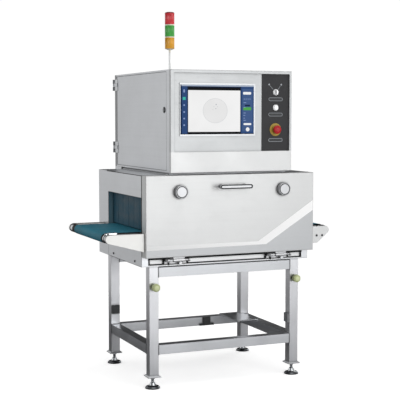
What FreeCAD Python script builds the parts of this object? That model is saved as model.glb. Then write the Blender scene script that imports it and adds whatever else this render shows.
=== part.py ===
"""X-ray inspection machine for packed food: a belt conveyor runs through a shielded cabinet.

Millimetres. X runs along the belt from infeed to outfeed, Y from the front to the back and Z up.
Pieces are placed from the cabinet's centre line, the front of its door and the floor. The whole
machine is then shifted so that the origin lies on the floor at the centre of its bounding box.
"""

import FreeCAD, Part
import math
import os
import Sketcher

# Driving dimensions

DIMENSIONS = {
    # stand
    "leg_tube": 45,
    "tube_wall": 2.5,
    "stand_wide": 776,
    "stand_deep": 605,
    "stand_front": 71,
    "lower_rail_low": 160,
    "upper_rail_gap": 7,
    "flange_side": 64,
    "flange_thick": 8,
    "flange_low": 54,
    "flange_chamfer": 5,
    "foot_radius": 35,
    "foot_rim": 5,
    "bell_radius": 16,
    "bell_high": 27,
    "stud_radius": 7,
    "stud_reach": 60,
    "locknut_radius": 12.5,
    "locknut_high": 9,
    "thread_play": 0.06,
    "hand_knob_radius": 18.5,
    "hand_knob_stem": 9,
    "hand_knob_stud": 5,
    "hand_knob_reach": 40,
    "hand_knob_drop": 44,
    "flute_radius": 5,
    "flutes": 6,
    "saddle_wide": 40,
    "saddle_high": 44,
    "saddle_deep": 10,
    "saddle_leg_high": 282,
    "saddle_rail_x": 141,
    "corner_plate_wide": 120,
    "corner_plate_deep": 206,
    "corner_plate_thick": 4,
    # cabinet
    "cabinet_wide": 860,
    "cabinet_deep": 632,
    "cabinet_low": 576,
    "cabinet_high": 422,
    "sheet": 3,
    "tunnel_high": 158,
    "mouth_margin": 32,
    "filler_high": 74,
    "filler_flange": 32,
    "filler_screw_high": 18,
    "filler_screw_front": 93,
    "filler_screw_back": 404,
    "screw_head": 5,
    "screw_head_high": 3,
    "screw_shank": 2.5,
    "sill_high": 44,
    "sill_deep": 27,
    "sill_rib": 18,
    "sill_rib_rise": 9,
    "sill_rib_high": 26,
    "hood_rise": 15,
    "support_x": 300,
    "support_wide": 40,
    "slit_half": 4,
    # front door
    "door_clear": 3,
    "door_deep": 57,
    "door_gap": 1,
    "door_sheet": 2,
    "door_edge": 3,
    "hinge_x": 263,
    "hinge_wide": 110,
    "hinge_drop": 16,
    "hinge_forward": 18,
    "hinge_pin": 4,
    "hinge_ear": 6,
    "hinge_eye": 9,
    "knuckle_radius": 8,
    "adjuster_reach": 18,
    "knuckle_wide": 56,
    "running_play": 0.05,
    "latch_x": 263,
    "latch_drop": 75,
    "latch_radius": 31,
    "latch_proud": 24,
    "latch_shaft": 6,
    "cam_reach": 17,
    "cam_wide": 10,
    "cam_thick": 4,
    "cam_gap": 1.5,
    "slot_play": 3,
    "handle_wide": 163,
    "handle_high": 20,
    "handle_proud": 52,
    "handle_bar": 14,
    "handle_post": 6,
    "handle_post_x": 60,
    # conveyor
    "belt_rise": 162,
    "belt_wide": 428,
    "belt_thick": 2,
    "belt_front": 80,
    "belt_clear": 0.3,
    "roller_radius": 20,
    "infeed_reach": 165,
    "outfeed_reach": 78,
    "roller_shaft": 6,
    "roller_groove": 2.5,
    "rail_gap": 3,
    "rail_flange": 14,
    "rail_high": 77,
    "rail_drop": 5,
    "rail_end_gap": 8,
    "bed_sheet": 2,
    "bed_skirt": 18,
    "cheek_thick": 12,
    "cheek_front": 17,
    "cheek_overhang": 104,
    "cheek_drop": 4,
    "cheek_high": 81,
    "cheek_nose": 19,
    "cheek_gap": 2,
    "infeed_flat": 6,
    "outfeed_flat": 30,
    "cheek_bore_deep": 8,
    "boss_radius": 8,
    "cheek_screw_rise": 36,
    "detector_half": 30,
    "detector_high": 30,
    "curtain_inset": 27,
    "curtain_rod": 4,
    "curtain_rod_rise": 8,
    "curtain_hem": 6.5,
    "curtain_thick": 4,
    "curtain_lift": 4,
    "curtain_strips": 6,
    "curtain_slit": 1.5,
    "curtain_head": 18,
    # console
    "console_wide": 618,
    "console_front": 1,
    "console_deep": 786,
    "plinth_high": 11,
    "console_high": 470,
    "console_sheet": 2,
    "front_deep": 14,
    "recess_deep": 11,
    "recess_rise": 95,
    "recess_drop": 14,
    "recess_left": 19,
    "recess_right": 11,
    "plinth_inset": 12,
    "side_door_front": 54,
    "side_door_back": 760,
    "side_door_inset": 10,
    "side_door_gap": 1.5,
    "side_door_deep": 14,
    "rim_lap": 9,
    "side_hinge_rise": 60,
    "side_hinge_fall": 70,
    "side_hinge_high": 57,
    "side_hinge_out": 2,
    "side_hinge_back": 9,
    "side_knuckle": 6.5,
    "side_pin": 3,
    "lock_rise": 287,
    "lock_inset": 24,
    "lock_radius": 9,
    "lock_cam": 20,
    "screen_x": -70,
    "screen_lift": 80,
    "screen_wide": 366,
    "screen_high": 227,
    "bezel": 8,
    "bezel_proud": 4,
    "panel_deep": 45,
    "control_wide": 142,
    "control_thick": 2,
    "control_inset": 81,
    "selector_drop": 85,
    "button_drop": 157,
    "stop_drop": 261,
    "bezel_radius": 14.5,
    "bezel_stand": 4,
    "device_radius": 11,
    "device_barrel": 12,
    "device_deep": 24,
    "selector_proud": 18,
    "button_travel": 4,
    "stop_travel": 5,
    "stop_collar": 30,
    "stop_mushroom": 20,
    "stop_proud": 28,
    "label_wide": 76,
    "label_high": 17,
    "label_drop": 33,
    "stop_label_drop": 49,
    "rear_rise": 28,
    "louvre_high": 9,
    "louvre_pitch": 24,
    "louvres": 8,
    "gland_radius": 14,
    # radiation source
    "source_half": 95,
    "source_front": 180,
    "source_deep": 226,
    "source_rise": 181,
    "source_high": 190,
    "source_fins": 7,
    "fin_high": 18,
    "fan_top": 25,
    "fan_foot": 145,
    "duct_half": 14,
    "rack_deep": 480,
    "rack_high": 380,
    # signal tower
    "tower_x": -158,
    "tower_y": 393,
    "tower_base": 25,
    "tower_pole": 5,
    "tower_radius": 23.5,
    "tower_rise": 117,
    "tier_high": 54,
    "tier_ring": 5,
    "tower_cap": 6,
}

doc = FreeCAD.newDocument("inspection_machine")
sheet = doc.addObject("Spreadsheet::Sheet", "Sizes")
for row, (alias, value) in enumerate(DIMENSIONS.items(), start=1):
    sheet.set(f"A{row}", str(value))
    sheet.setAlias(f"A{row}", alias)
doc.recompute()


class Size:
    """A number that keeps the formula which gives it from the sheet's cells."""

    def __init__(self, value, text):
        self.value = float(value)
        self.text = text

    @staticmethod
    def of(other):
        """Make a Size of a plain number, or give back the Size itself."""
        return other if isinstance(other, Size) else Size(other, f"({other})")

    def join(self, sign, other, value):
        """Write two formulas as one."""
        return Size(value, f"({self.text} {sign} {other.text})")

    def __add__(self, other):
        other = Size.of(other)
        return self.join("+", other, self.value + other.value)

    def __sub__(self, other):
        other = Size.of(other)
        return self.join("-", other, self.value - other.value)

    def __mul__(self, other):
        other = Size.of(other)
        return self.join("*", other, self.value * other.value)

    def __truediv__(self, other):
        other = Size.of(other)
        return self.join("/", other, self.value / other.value)

    def __radd__(self, other):
        return Size.of(other) + self

    def __rsub__(self, other):
        return Size.of(other) - self

    def __rmul__(self, other):
        return Size.of(other) * self

    def __neg__(self):
        return Size.of(0) - self


class Sizes:
    """The sheet's cells by their aliases."""

    def __getattr__(self, alias):
        return Size(sheet.get(alias), f"Sizes.{alias}")


s = Sizes()

# Small steps that are shares of no other size

OVERSHOOT = 1.0
SEAT = 0.3

# Where the cheek's round nose gives way to its sloping underside, before the outline is solved

CHIN_TURN = math.radians(-70)

# Planes and lines that several pieces share

half_cabinet = s.cabinet_wide / 2
cabinet_front = s.door_deep + s.door_gap
cabinet_back = cabinet_front + s.cabinet_deep
half_stand = s.stand_wide / 2
stand_back = s.stand_front + s.stand_deep
infeed_axle = -half_cabinet - s.infeed_reach
outfeed_axle = half_cabinet + s.outfeed_reach
belt_back = s.belt_front + s.belt_wide
belt_middle = s.belt_front + s.belt_wide / 2
mouth_back = belt_back + s.mouth_margin
cheek_back = belt_back + s.cheek_overhang
belt_inner = s.roller_radius + s.belt_clear
rail_front = s.belt_front - s.rail_gap
rail_back = belt_back + s.rail_gap
rail_end = s.roller_radius + s.rail_end_gap
boss_out = s.boss_radius * 3
half_console = s.console_wide / 2
console_back = s.console_front + s.console_deep
shell_front = s.console_front + s.front_deep
recess_floor = s.console_front + s.recess_deep
control_face = recess_floor - s.control_thick

# Heights, each from the one below it or above it

upper_rail_low = s.cabinet_low - s.upper_rail_gap - s.leg_tube
hand_knob_high = upper_rail_low - s.hand_knob_drop
sill_rib_low = s.cabinet_low + s.sill_rib_rise
sill_top = s.cabinet_low + s.sill_high
filler_top = s.cabinet_low + s.filler_high
rear_low = s.cabinet_low + s.rear_rise
door_low = sill_top + s.door_clear
hinge_high = door_low - s.hinge_drop
belt_top = s.cabinet_low + s.belt_rise
roller_high = belt_top - s.belt_thick - belt_inner
rail_top = belt_top - s.rail_drop
rail_low = rail_top - s.rail_high
cheek_top = belt_top - s.cheek_drop
cheek_low = cheek_top - s.cheek_high
mouth_top = belt_top + s.tunnel_high
curtain_rod_high = mouth_top + s.curtain_rod_rise
hood_top = mouth_top + s.hood_rise
cabinet_top = s.cabinet_low + s.cabinet_high
latch_high = cabinet_top - s.latch_drop
handle_high = latch_high + s.handle_high
console_low = cabinet_top + s.plinth_high
console_top = console_low + s.console_high
side_door_low = console_low + s.side_door_inset
side_door_top = console_top - s.side_door_inset
side_hinge_low = side_door_low + s.side_hinge_rise
side_hinge_top = side_door_top - s.side_hinge_fall
lock_high = console_low + s.lock_rise
recess_low = console_low + s.recess_rise
recess_top = console_top - s.recess_drop
screen_low = recess_low + s.screen_lift
selector_high = recess_top - s.selector_drop
button_high = recess_top - s.button_drop
stop_high = recess_top - s.stop_drop
control_x = half_console - s.control_inset
source_low = console_low + s.source_rise
tower_low = console_top + s.tower_rise

# The origin on the floor: the middle of the machine's length and depth

machine_left = infeed_axle - s.cheek_nose
machine_right = outfeed_axle + s.cheek_nose
machine_front = -s.handle_proud
machine_back = console_back + s.side_hinge_back + s.side_knuckle
middle_x = (machine_left + machine_right) / 2
middle_y = (machine_front + machine_back) / 2

# Turns that lay a piece's own Z along another way

ALONG = {
    "+x": FreeCAD.Rotation(FreeCAD.Vector(0, 1, 0), 90),
    "-x": FreeCAD.Rotation(FreeCAD.Vector(0, 1, 0), -90),
    "+y": FreeCAD.Rotation(FreeCAD.Vector(1, 0, 0), -90),
    "-y": FreeCAD.Rotation(FreeCAD.Vector(1, 0, 0), 90),
    "+z": FreeCAD.Rotation(),
}


def frame_of(x_to, y_to, z_to):
    """Give the turn that lays a piece's own axes along the three ways given."""
    ways = [FreeCAD.Vector(*way) for way in (x_to, y_to, z_to)]
    return FreeCAD.Rotation(ways[0], ways[1], ways[2], "ZXY")


# A side view drawn in Y and Z that grows along X, and front views drawn in X and Z

SIDE_VIEW = frame_of((0, 1, 0), (0, 0, 1), (1, 0, 0))
FRONT_VIEW = frame_of((1, 0, 0), (0, 0, 1), (0, -1, 0))
BACK_VIEW = frame_of((-1, 0, 0), (0, 0, 1), (0, 1, 0))

parts = {}


# Helpers that make and bind the pieces


def bind(piece, **sizes):
    """Bind the piece's properties to the sheet."""
    for name, size in sizes.items():
        piece.setExpression(name, Size.of(size).text)


def place(piece, x, y, z, turn=None):
    """Put a piece where it belongs, counted from the centre line, the door's front and the floor."""
    if turn is not None:
        piece.Placement = FreeCAD.Placement(FreeCAD.Vector(), turn)
    for axis, size in zip("xyz", (x - middle_x, y - middle_y, Size.of(z))):
        piece.setExpression(f"Placement.Base.{axis}", size.text)
    return piece


def box(name, x, y, z):
    """A box between two limits on each axis."""
    piece = doc.addObject("Part::Box", name)
    lengths = [Size.of(high) - low for low, high in (x, y, z)]
    bind(piece, Length=lengths[0], Width=lengths[1], Height=lengths[2])
    return place(piece, x[0], y[0], z[0])


def rod(name, radius, way, start, length):
    """A cylinder from a point along one of the ways."""
    piece = doc.addObject("Part::Cylinder", name)
    bind(piece, Radius=radius, Height=length)
    return place(piece, *start, ALONG[way])


def cone(name, foot_radius, head_radius, way, start, length):
    """A cone from a point along one of the ways."""
    piece = doc.addObject("Part::Cone", name)
    bind(piece, Radius1=foot_radius, Radius2=head_radius, Height=length)
    return place(piece, *start, ALONG[way])


def wedge(name, centre, foot_half, head_half, length):
    """An upright frustum: half widths in X and Y at its foot and at its head."""
    piece = doc.addObject("Part::Wedge", name)
    foot_x, foot_y = foot_half
    head_x, head_y = head_half
    bind(piece, Xmin=-foot_x, Xmax=foot_x, Zmin=-foot_y, Zmax=foot_y, Ymin=0, Ymax=length)
    bind(piece, X2min=-head_x, X2max=head_x, Z2min=-head_y, Z2max=head_y)
    return place(piece, *centre, ALONG["-y"])


def fuse(name, *pieces):
    """Join pieces into one solid."""
    joined = doc.addObject("Part::MultiFuse", name)
    joined.Shapes = list(pieces)
    joined.Refine = True
    return joined


def cut(name, base, *tools):
    """Cut one or more tools out of a piece."""
    piece = doc.addObject("Part::Cut", name)
    piece.Base = base
    piece.Tool = tools[0] if len(tools) == 1 else fuse(name + "_tools", *tools)
    piece.Refine = True
    return piece


def group(name, pieces):
    """Keep separate solids together as one sub-part."""
    together = doc.addObject("Part::Compound", name)
    together.Links = list(pieces)
    return together


def keep(name, piece):
    """Name a finished sub-part."""
    piece.Label = name
    parts[name] = piece
    return piece


def soften(name, base, radius, chosen):
    """Round the edges of a piece for which chosen says yes."""
    doc.recompute()
    piece = doc.addObject("Part::Fillet", name)
    piece.Base = base
    edges = enumerate(base.Shape.Edges, start=1)
    piece.Edges = [(index, radius.value, radius.value) for index, edge in edges if chosen(edge)]
    return piece


def new_sketch(body, role):
    """A sketch on one of its body's own planes."""
    outline = body.newObject("Sketcher::SketchObject", body.Name + "_outline")
    plane = [feature for feature in body.Origin.OriginFeatures if feature.Role == role][0]
    outline.AttachmentSupport = [(plane, "")]
    outline.MapMode = "FlatFace"
    return outline


def pin_point(outline, line, end, point):
    """Fix an end of a line by its two distances from the sketch's origin."""
    for kind, size in zip(("DistanceX", "DistanceY"), point):
        size = Size.of(size)
        index = outline.addConstraint(Sketcher.Constraint(kind, -1, 1, line, end, size.value))
        outline.setExpression(f"Constraints[{index}]", size.text)


def polygon(outline, points):
    """Draw a closed outline of straight lines."""
    flat = [FreeCAD.Vector(Size.of(a).value, Size.of(b).value, 0) for a, b in points]
    count = len(points)
    for start, end in zip(flat, flat[1:] + flat[:1]):
        outline.addGeometry(Part.LineSegment(start, end), False)
    for line in range(count):
        outline.addConstraint(Sketcher.Constraint("Coincident", line, 2, (line + 1) % count, 1))
    for line, point in enumerate(points):
        pin_point(outline, line, 1, point)


def padded(name, points, length, where, turn):
    """A flat outline grown to a length, laid in one of the views."""
    body = doc.addObject("PartDesign::Body", name)
    outline = new_sketch(body, "XY_Plane")
    polygon(outline, points)
    pad = body.newObject("PartDesign::Pad", name + "_pad")
    pad.Profile = outline
    bind(pad, Length=length)
    return place(body, *where, turn)


def turned(name, points, where, way):
    """An outline of radius and height turned about its own axis, which lies along a way."""
    body = doc.addObject("PartDesign::Body", name)
    outline = new_sketch(body, "XZ_Plane")
    polygon(outline, points)
    solid = body.newObject("PartDesign::Revolution", name + "_turn")
    solid.Profile = outline
    solid.ReferenceAxis = (outline, ["V_Axis"])
    solid.Angle = 360
    return place(body, *where, ALONG[way])


def side_profile(name, points, start, end):
    """A bent sheet or bar: its outline in Y and Z, between two places along X."""
    shifted = [(y - middle_y, z) for y, z in points]
    return padded(name, shifted, Size.of(end) - start, (start, middle_y, 0), SIDE_VIEW)


def flat_bar(name, wide, high, way_deep, centre, back):
    """A bar with round ends that faces the front: centre in X and Z, and its back plane."""
    x, z = centre
    reach = wide / 2 - high / 2
    middle = box(name + "_middle", (x - reach, x + reach), (back - way_deep, back),
                 (z - high / 2, z + high / 2))
    ends = [rod(name + "_end", high / 2, "-y", (x + side * reach, back, z), way_deep)
            for side in (-1, 1)]
    return fuse(name, middle, *ends)


# Stand


def tube(name, x, y, z, along):
    """A square tube with its bore along one axis."""
    limits = [x, y, z]
    inner = []
    for axis, (low, high) in zip("xyz", limits):
        wall = Size.of(-OVERSHOOT) if axis == along else s.tube_wall
        inner.append((low + wall, high - wall))
    return cut(name, box(name + "_outer", *limits), box(name + "_bore", *inner))


leg_places = {
    "front_left": (-half_stand, s.stand_front),
    "front_right": (half_stand - s.leg_tube, s.stand_front),
    "rear_left": (-half_stand, stand_back - s.leg_tube),
    "rear_right": (half_stand - s.leg_tube, stand_back - s.leg_tube),
}
leg_foot = s.flange_low + s.flange_thick


def stand_legs():
    """Four square legs; the front two are bored for the hand knobs' studs."""
    legs = []
    for side, (x, y) in leg_places.items():
        leg = tube("leg_" + side, (x, x + s.leg_tube), (y, y + s.leg_tube),
                   (leg_foot, s.cabinet_low), "z")
        if side.startswith("front"):
            start = (x + s.leg_tube / 2, y - OVERSHOOT, hand_knob_high)
            hole = rod("knob_hole", s.hand_knob_stud + s.thread_play, "+y", start,
                       s.tube_wall + 2 * OVERSHOOT)
            leg = cut("leg_bored_" + side, leg, hole)
        legs.append(leg)
    keep("stand_legs", group("legs", legs))


def cross_rails(name, low):
    """The front and rear rails at one height, butted between the legs."""
    inner = half_stand - s.leg_tube
    return [tube(name + "_across", (-inner, inner), (y, y + s.leg_tube), (low, low + s.leg_tube), "x")
            for y in (s.stand_front, stand_back - s.leg_tube)]


def end_rails(name, low):
    """The left and right rails at one height, butted between the legs."""
    front, back = s.stand_front + s.leg_tube, stand_back - s.leg_tube
    return [tube(name + "_side", (x, x + s.leg_tube), (front, back), (low, low + s.leg_tube), "y")
            for x in (-half_stand, half_stand - s.leg_tube)]


def stand_rails():
    """Lower rails on all four sides with their corner plate, and upper rails at the front and rear alone."""
    for name, low, more in (
        ("stand_rails_lower", s.lower_rail_low, end_rails("stand_rails_lower", s.lower_rail_low) + [corner_plate()]),
        ("stand_rails_upper", upper_rail_low, []),
    ):
        keep(name, group(name + "_group", cross_rails(name, low) + more))


def leg_flanges():
    """Flared square flanges that close the legs' feet, each with a threaded hole."""
    flanges = []
    for x, y in leg_places.values():
        centre_x, centre_y = x + s.leg_tube / 2, y + s.leg_tube / 2
        half = s.flange_side / 2
        foot = half - s.flange_chamfer
        lower = s.flange_thick - s.flange_chamfer
        slab = box("flange_slab", (centre_x - half, centre_x + half), (centre_y - half, centre_y + half),
                   (s.flange_low, s.flange_low + lower))
        flare = wedge("flange_flare", (centre_x, centre_y, s.flange_low + lower), (half, half),
                      (foot, foot), s.flange_chamfer)
        hole = rod("flange_hole", s.stud_radius + s.thread_play, "+z",
                   (centre_x, centre_y, s.flange_low - OVERSHOOT), s.flange_thick + 2 * OVERSHOOT)
        flanges.append(cut("flange", fuse("flange_plate", slab, flare), hole))
    keep("leg_flanges", group("flanges", flanges))


def levelling_feet():
    """Feet that turn in the flanges: a pad, a bell-shaped hub and a threaded stud."""
    stud_top = s.flange_low + s.stud_reach
    profile = [
        (0, 0),
        (s.foot_radius, 0),
        (s.foot_radius, s.foot_rim),
        (s.foot_radius - s.foot_rim, s.foot_rim * 2),
        (s.bell_radius, s.foot_rim * 3),
        (s.bell_radius - s.foot_rim, s.bell_high),
        (s.stud_radius, s.bell_high + s.foot_rim),
        (s.stud_radius, stud_top),
        (0, stud_top),
    ]
    for side, (x, y) in leg_places.items():
        where = (x + s.leg_tube / 2, y + s.leg_tube / 2, 0)
        keep("levelling_foot_" + side, turned("foot_" + side, profile, where, "+z"))


def foot_locknuts():
    """Lock nuts under the flanges."""
    nuts = []
    for x, y in leg_places.values():
        where = (x + s.leg_tube / 2, y + s.leg_tube / 2, s.flange_low - s.locknut_high)
        nut = doc.addObject("Part::Prism", "nut_blank")
        nut.Polygon = 6
        bind(nut, Circumradius=s.locknut_radius, Height=s.locknut_high)
        place(nut, *where)
        bore = rod("nut_bore", s.stud_radius + s.thread_play, "+z",
                   (where[0], where[1], where[2] - OVERSHOOT), s.locknut_high + 2 * OVERSHOOT)
        nuts.append(cut("locknut", nut, bore))
    keep("foot_locknuts", group("locknuts", nuts))


def hand_knob(side):
    """A fluted clamping knob whose stud goes through the leg's front wall."""
    x, y = leg_places["front_" + side]
    lip = s.hand_knob_radius / 6
    collar = s.hand_knob_reach / 4
    profile = [
        (0, -s.tube_wall * 6),
        (s.hand_knob_stud, -s.tube_wall * 6),
        (s.hand_knob_stud, SEAT),
        (s.hand_knob_stem, SEAT),
        (s.hand_knob_stem, collar),
        (s.hand_knob_radius - lip, collar + lip),
        (s.hand_knob_radius, collar + lip * 2),
        (s.hand_knob_radius, s.hand_knob_reach - lip * 2),
        (s.hand_knob_radius - lip * 2, s.hand_knob_reach),
        (0, s.hand_knob_reach),
    ]
    where = (x + s.leg_tube / 2, y, hand_knob_high)
    knob = turned("hand_knob_body_" + side, profile, where, "-y")
    doc.recompute()
    whole = knob.Shape.Volume
    outline = new_sketch(knob, "XY_Plane")
    outline.addGeometry(Part.Circle(FreeCAD.Vector(s.hand_knob_radius.value, 0, 0),
                                    FreeCAD.Vector(0, 0, 1), s.flute_radius.value), False)
    for kind, size in (("DistanceX", s.hand_knob_radius + lip), ("DistanceY", Size.of(0))):
        index = outline.addConstraint(Sketcher.Constraint(kind, -1, 1, 0, 3, size.value))
        outline.setExpression(f"Constraints[{index}]", size.text)
    index = outline.addConstraint(Sketcher.Constraint("Radius", 0, s.flute_radius.value))
    outline.setExpression(f"Constraints[{index}]", s.flute_radius.text)
    flute = knob.newObject("PartDesign::Pocket", "flute_" + side)
    flute.Profile = outline
    flute.Reversed = True
    bind(flute, Length=s.hand_knob_reach + OVERSHOOT)
    pattern = knob.newObject("PartDesign::PolarPattern", "flutes_" + side)
    pattern.Originals = [flute]
    pattern.Axis = (outline, ["N_Axis"])
    pattern.Angle = 360
    bind(pattern, Occurrences=s.flutes)
    knob.Tip = pattern
    doc.recompute()
    if knob.Shape.Volume >= whole:
        raise RuntimeError("the flutes cut nothing")
    keep("hand_knob_" + side, knob)


def cable_saddles():
    """Dark saddles: one on a rear leg, one inside a front leg and one on the rear lower rail."""
    rear_x, rear_y = leg_places["rear_left"]
    front_x, front_y = leg_places["front_right"]
    middle_z = s.saddle_leg_high
    half_wide, half_high = s.saddle_wide / 2, s.saddle_high / 2
    leg_middle = rear_x + s.leg_tube / 2
    on_leg = box("saddle_rear", (leg_middle - half_wide, leg_middle + half_wide),
                 (rear_y - s.saddle_deep, rear_y), (middle_z - half_high, middle_z + half_high))
    side_middle = front_y + s.leg_tube / 2
    inside = box("saddle_inside", (front_x - s.saddle_deep, front_x),
                 (side_middle - half_wide, side_middle + half_wide),
                 (middle_z + half_high - s.saddle_high, middle_z + half_high))
    rail_z = s.lower_rail_low + s.leg_tube / 2
    on_rail = box("saddle_rail", (s.saddle_rail_x - half_wide, s.saddle_rail_x + half_wide),
                  (rear_y - s.saddle_deep, rear_y), (rail_z - half_high, rail_z + half_high))
    ledge = box("saddle_ledge", (s.saddle_rail_x - s.saddle_wide, s.saddle_rail_x + s.saddle_wide),
                (rear_y - s.saddle_deep, rear_y), (rail_z - half_high, rail_z - half_high / 2))
    keep("cable_saddles", group("saddles", [on_leg, inside, fuse("saddle_foot", on_rail, ledge)]))


def corner_plate():
    """A flat plate on top of the lower rails at the rear right corner."""
    top = s.lower_rail_low + s.leg_tube
    right = half_stand - s.leg_tube
    back = stand_back - s.leg_tube
    plate = box("corner", (right - s.corner_plate_wide + s.leg_tube / 3, right + s.leg_tube / 3),
                (back + s.leg_tube / 2 - s.corner_plate_deep, back), (top, top + s.corner_plate_thick))
    tongue = box("corner_tongue", (right - s.corner_plate_wide + s.leg_tube / 3, right - SEAT),
                 (back - OVERSHOOT, stand_back), (top, top + s.corner_plate_thick))
    return fuse("corner_whole", plate, tongue)


# Cabinet


def beam_slot(name, low, high):
    """The opening that lets the fan-shaped duct through a sheet."""
    return box(name, (-s.duct_half - SEAT, s.duct_half + SEAT),
               (belt_middle - s.fan_foot, belt_middle + s.fan_foot), (low - OVERSHOOT, high + OVERSHOOT))


def cabinet_shell():
    """Top, back and bottom of the cabinet, bent from one sheet and open to the front."""
    reach = half_cabinet - s.sheet
    outer = box("cabinet_outer", (-reach, reach), (cabinet_front, cabinet_back),
                (s.cabinet_low, cabinet_top))
    inner = box("cabinet_inner", (-reach - OVERSHOOT, reach + OVERSHOOT),
                (cabinet_front - OVERSHOOT, cabinet_back - s.sheet),
                (s.cabinet_low + s.sheet, cabinet_top - s.sheet))
    slot = beam_slot("cabinet_slot", cabinet_top - s.sheet, cabinet_top)
    keep("cabinet_shell", cut("cabinet", outer, inner, slot))


def end_panels():
    """The cabinet's ends: each a rear column and a top beam round the tunnel's mouth."""
    points = [
        (cabinet_front, mouth_top),
        (mouth_back, mouth_top),
        (mouth_back, s.cabinet_low),
        (cabinet_back, s.cabinet_low),
        (cabinet_back, cabinet_top),
        (cabinet_front, cabinet_top),
    ]
    panels = [side_profile("end_sheet", points, start, start + s.sheet)
              for start in (-half_cabinet, half_cabinet - s.sheet)]
    keep("end_panels", group("ends", panels))


def end_fillers():
    """Plates that close the cabinet's ends below the conveyor, with a flange to the front."""
    fillers = []
    for side in (-1, 1):
        outer = side * half_cabinet
        inner = side * (half_cabinet - s.sheet)
        tongue = side * (half_cabinet - s.filler_flange)
        web_x = (outer, inner) if side < 0 else (inner, outer)
        flange_x = (inner, tongue) if side < 0 else (tongue, inner)
        web = box("filler_web", web_x, (cabinet_front, mouth_back - SEAT), (s.cabinet_low, filler_top))
        flange = box("filler_flange", flange_x, (cabinet_front, cabinet_front + s.sheet),
                     (s.cabinet_low + s.sheet, filler_top))
        filler = fuse("filler", web, flange)
        holes = [rod("filler_hole", s.screw_shank, "+x", (outer - s.sheet * 2, y, z), s.sheet * 4)
                 for y, z in filler_screw_places()]
        fillers.append(cut("filler_drilled", filler, *holes))
    keep("end_fillers", group("fillers", fillers))


def filler_screw_places():
    """Two screws in each filler, in Y and Z."""
    high = s.cabinet_low + s.filler_screw_high
    return [(cabinet_front + s.filler_screw_front, high), (cabinet_front + s.filler_screw_back, high)]


def pan_screw(name, way, where):
    """A round-headed screw whose shank fills its hole; where is the centre of the head's seat."""
    lip = s.screw_head_high / 3
    profile = [
        (0, -s.sheet),
        (s.screw_shank, -s.sheet),
        (s.screw_shank, 0),
        (s.screw_head, 0),
        (s.screw_head, s.screw_head_high - lip),
        (s.screw_head - lip, s.screw_head_high),
        (0, s.screw_head_high),
    ]
    return turned(name, profile, where, way)


def panel_screws():
    """The fillers' screws and the small screws in the outfeed cheek."""
    screws = []
    for side, way in ((-1, "-x"), (1, "+x")):
        for y, z in filler_screw_places():
            screws.append(pan_screw("filler_screw", way, (side * half_cabinet, y, z)))
    for x, z in cheek_screw_places():
        screws.append(pan_screw("cheek_screw", "-y", (x, s.cheek_front, z)))
    keep("panel_screws", group("screws", screws))


def front_sill():
    """The recessed channel under the door, with a rib that carries the hinges."""
    low = s.cabinet_low + s.sheet
    back = cabinet_front + s.sill_deep
    web = back - s.sheet
    rib_front = web - s.sill_rib
    rib_top = sill_rib_low + s.sill_rib_high
    points = [
        (cabinet_front, low),
        (back, low),
        (back, sill_top),
        (cabinet_front, sill_top),
        (cabinet_front, sill_top - s.sheet),
        (web, sill_top - s.sheet),
        (web, rib_top),
        (rib_front, rib_top),
        (rib_front, sill_rib_low),
        (web, sill_rib_low),
        (web, low + s.sheet),
        (cabinet_front, low + s.sheet),
    ]
    reach = half_cabinet - s.filler_flange
    keep("front_sill", side_profile("sill", points, -reach, reach))


def tunnel_hood():
    """The shielded lining over and behind the belt, with the beam slit and the latch slots."""
    front = cabinet_front + s.sheet
    back = mouth_back + s.sheet * 2
    roof = hood_top + s.sheet
    points = [
        (front, hood_top),
        (back - s.sheet, hood_top),
        (back - s.sheet, s.cabinet_low + s.sheet),
        (back, s.cabinet_low + s.sheet),
        (back, roof),
        (front + s.sheet, roof),
        (front + s.sheet, cabinet_top - s.sheet),
        (front, cabinet_top - s.sheet),
    ]
    reach = half_cabinet - s.sheet
    bent = side_profile("hood_sheet", points, -reach, reach)
    slit = box("hood_slit", (-s.slit_half, s.slit_half),
               (belt_middle - s.fan_foot + s.sheet, belt_middle + s.fan_foot - s.sheet),
               (hood_top - OVERSHOOT, roof + OVERSHOOT))
    half_high = s.cam_wide / 2 + s.slot_play
    slots = []
    for x, inwards in ((-s.latch_x, 1), (s.latch_x, -1)):
        shaft_side = x - inwards * (s.latch_shaft + s.slot_play)
        cam_side = x + inwards * (s.cam_reach + s.slot_play)
        slots.append(box("latch_slot", (min_of(shaft_side, cam_side), max_of(shaft_side, cam_side)),
                         (front - OVERSHOOT, front + s.sheet + OVERSHOOT),
                         (latch_high - half_high, latch_high + half_high)))
    keep("tunnel_hood", cut("hood", bent, slit, *slots))


curtain_x = half_cabinet - s.curtain_inset
curtain_front = cabinet_front + s.sheet * 3


def curtain_rods():
    """Rods over the tunnel's mouths, from a hanger behind the door to the hood's rear wall."""
    rods = []
    for x in (-curtain_x, curtain_x):
        hanger_front = cabinet_front + s.sheet * 2
        hanger = box("hanger", (x - s.curtain_hem, x + s.curtain_hem), (hanger_front, hanger_front + s.sheet),
                     (curtain_rod_high - s.curtain_hem, hood_top))
        bar = rod("curtain_rod", s.curtain_rod, "+y", (x, hanger_front, curtain_rod_high),
                  mouth_back + s.sheet - hanger_front)
        rods.append(fuse("rod_and_hanger", hanger, bar))
    keep("curtain_rods", group("rods", rods))


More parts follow.
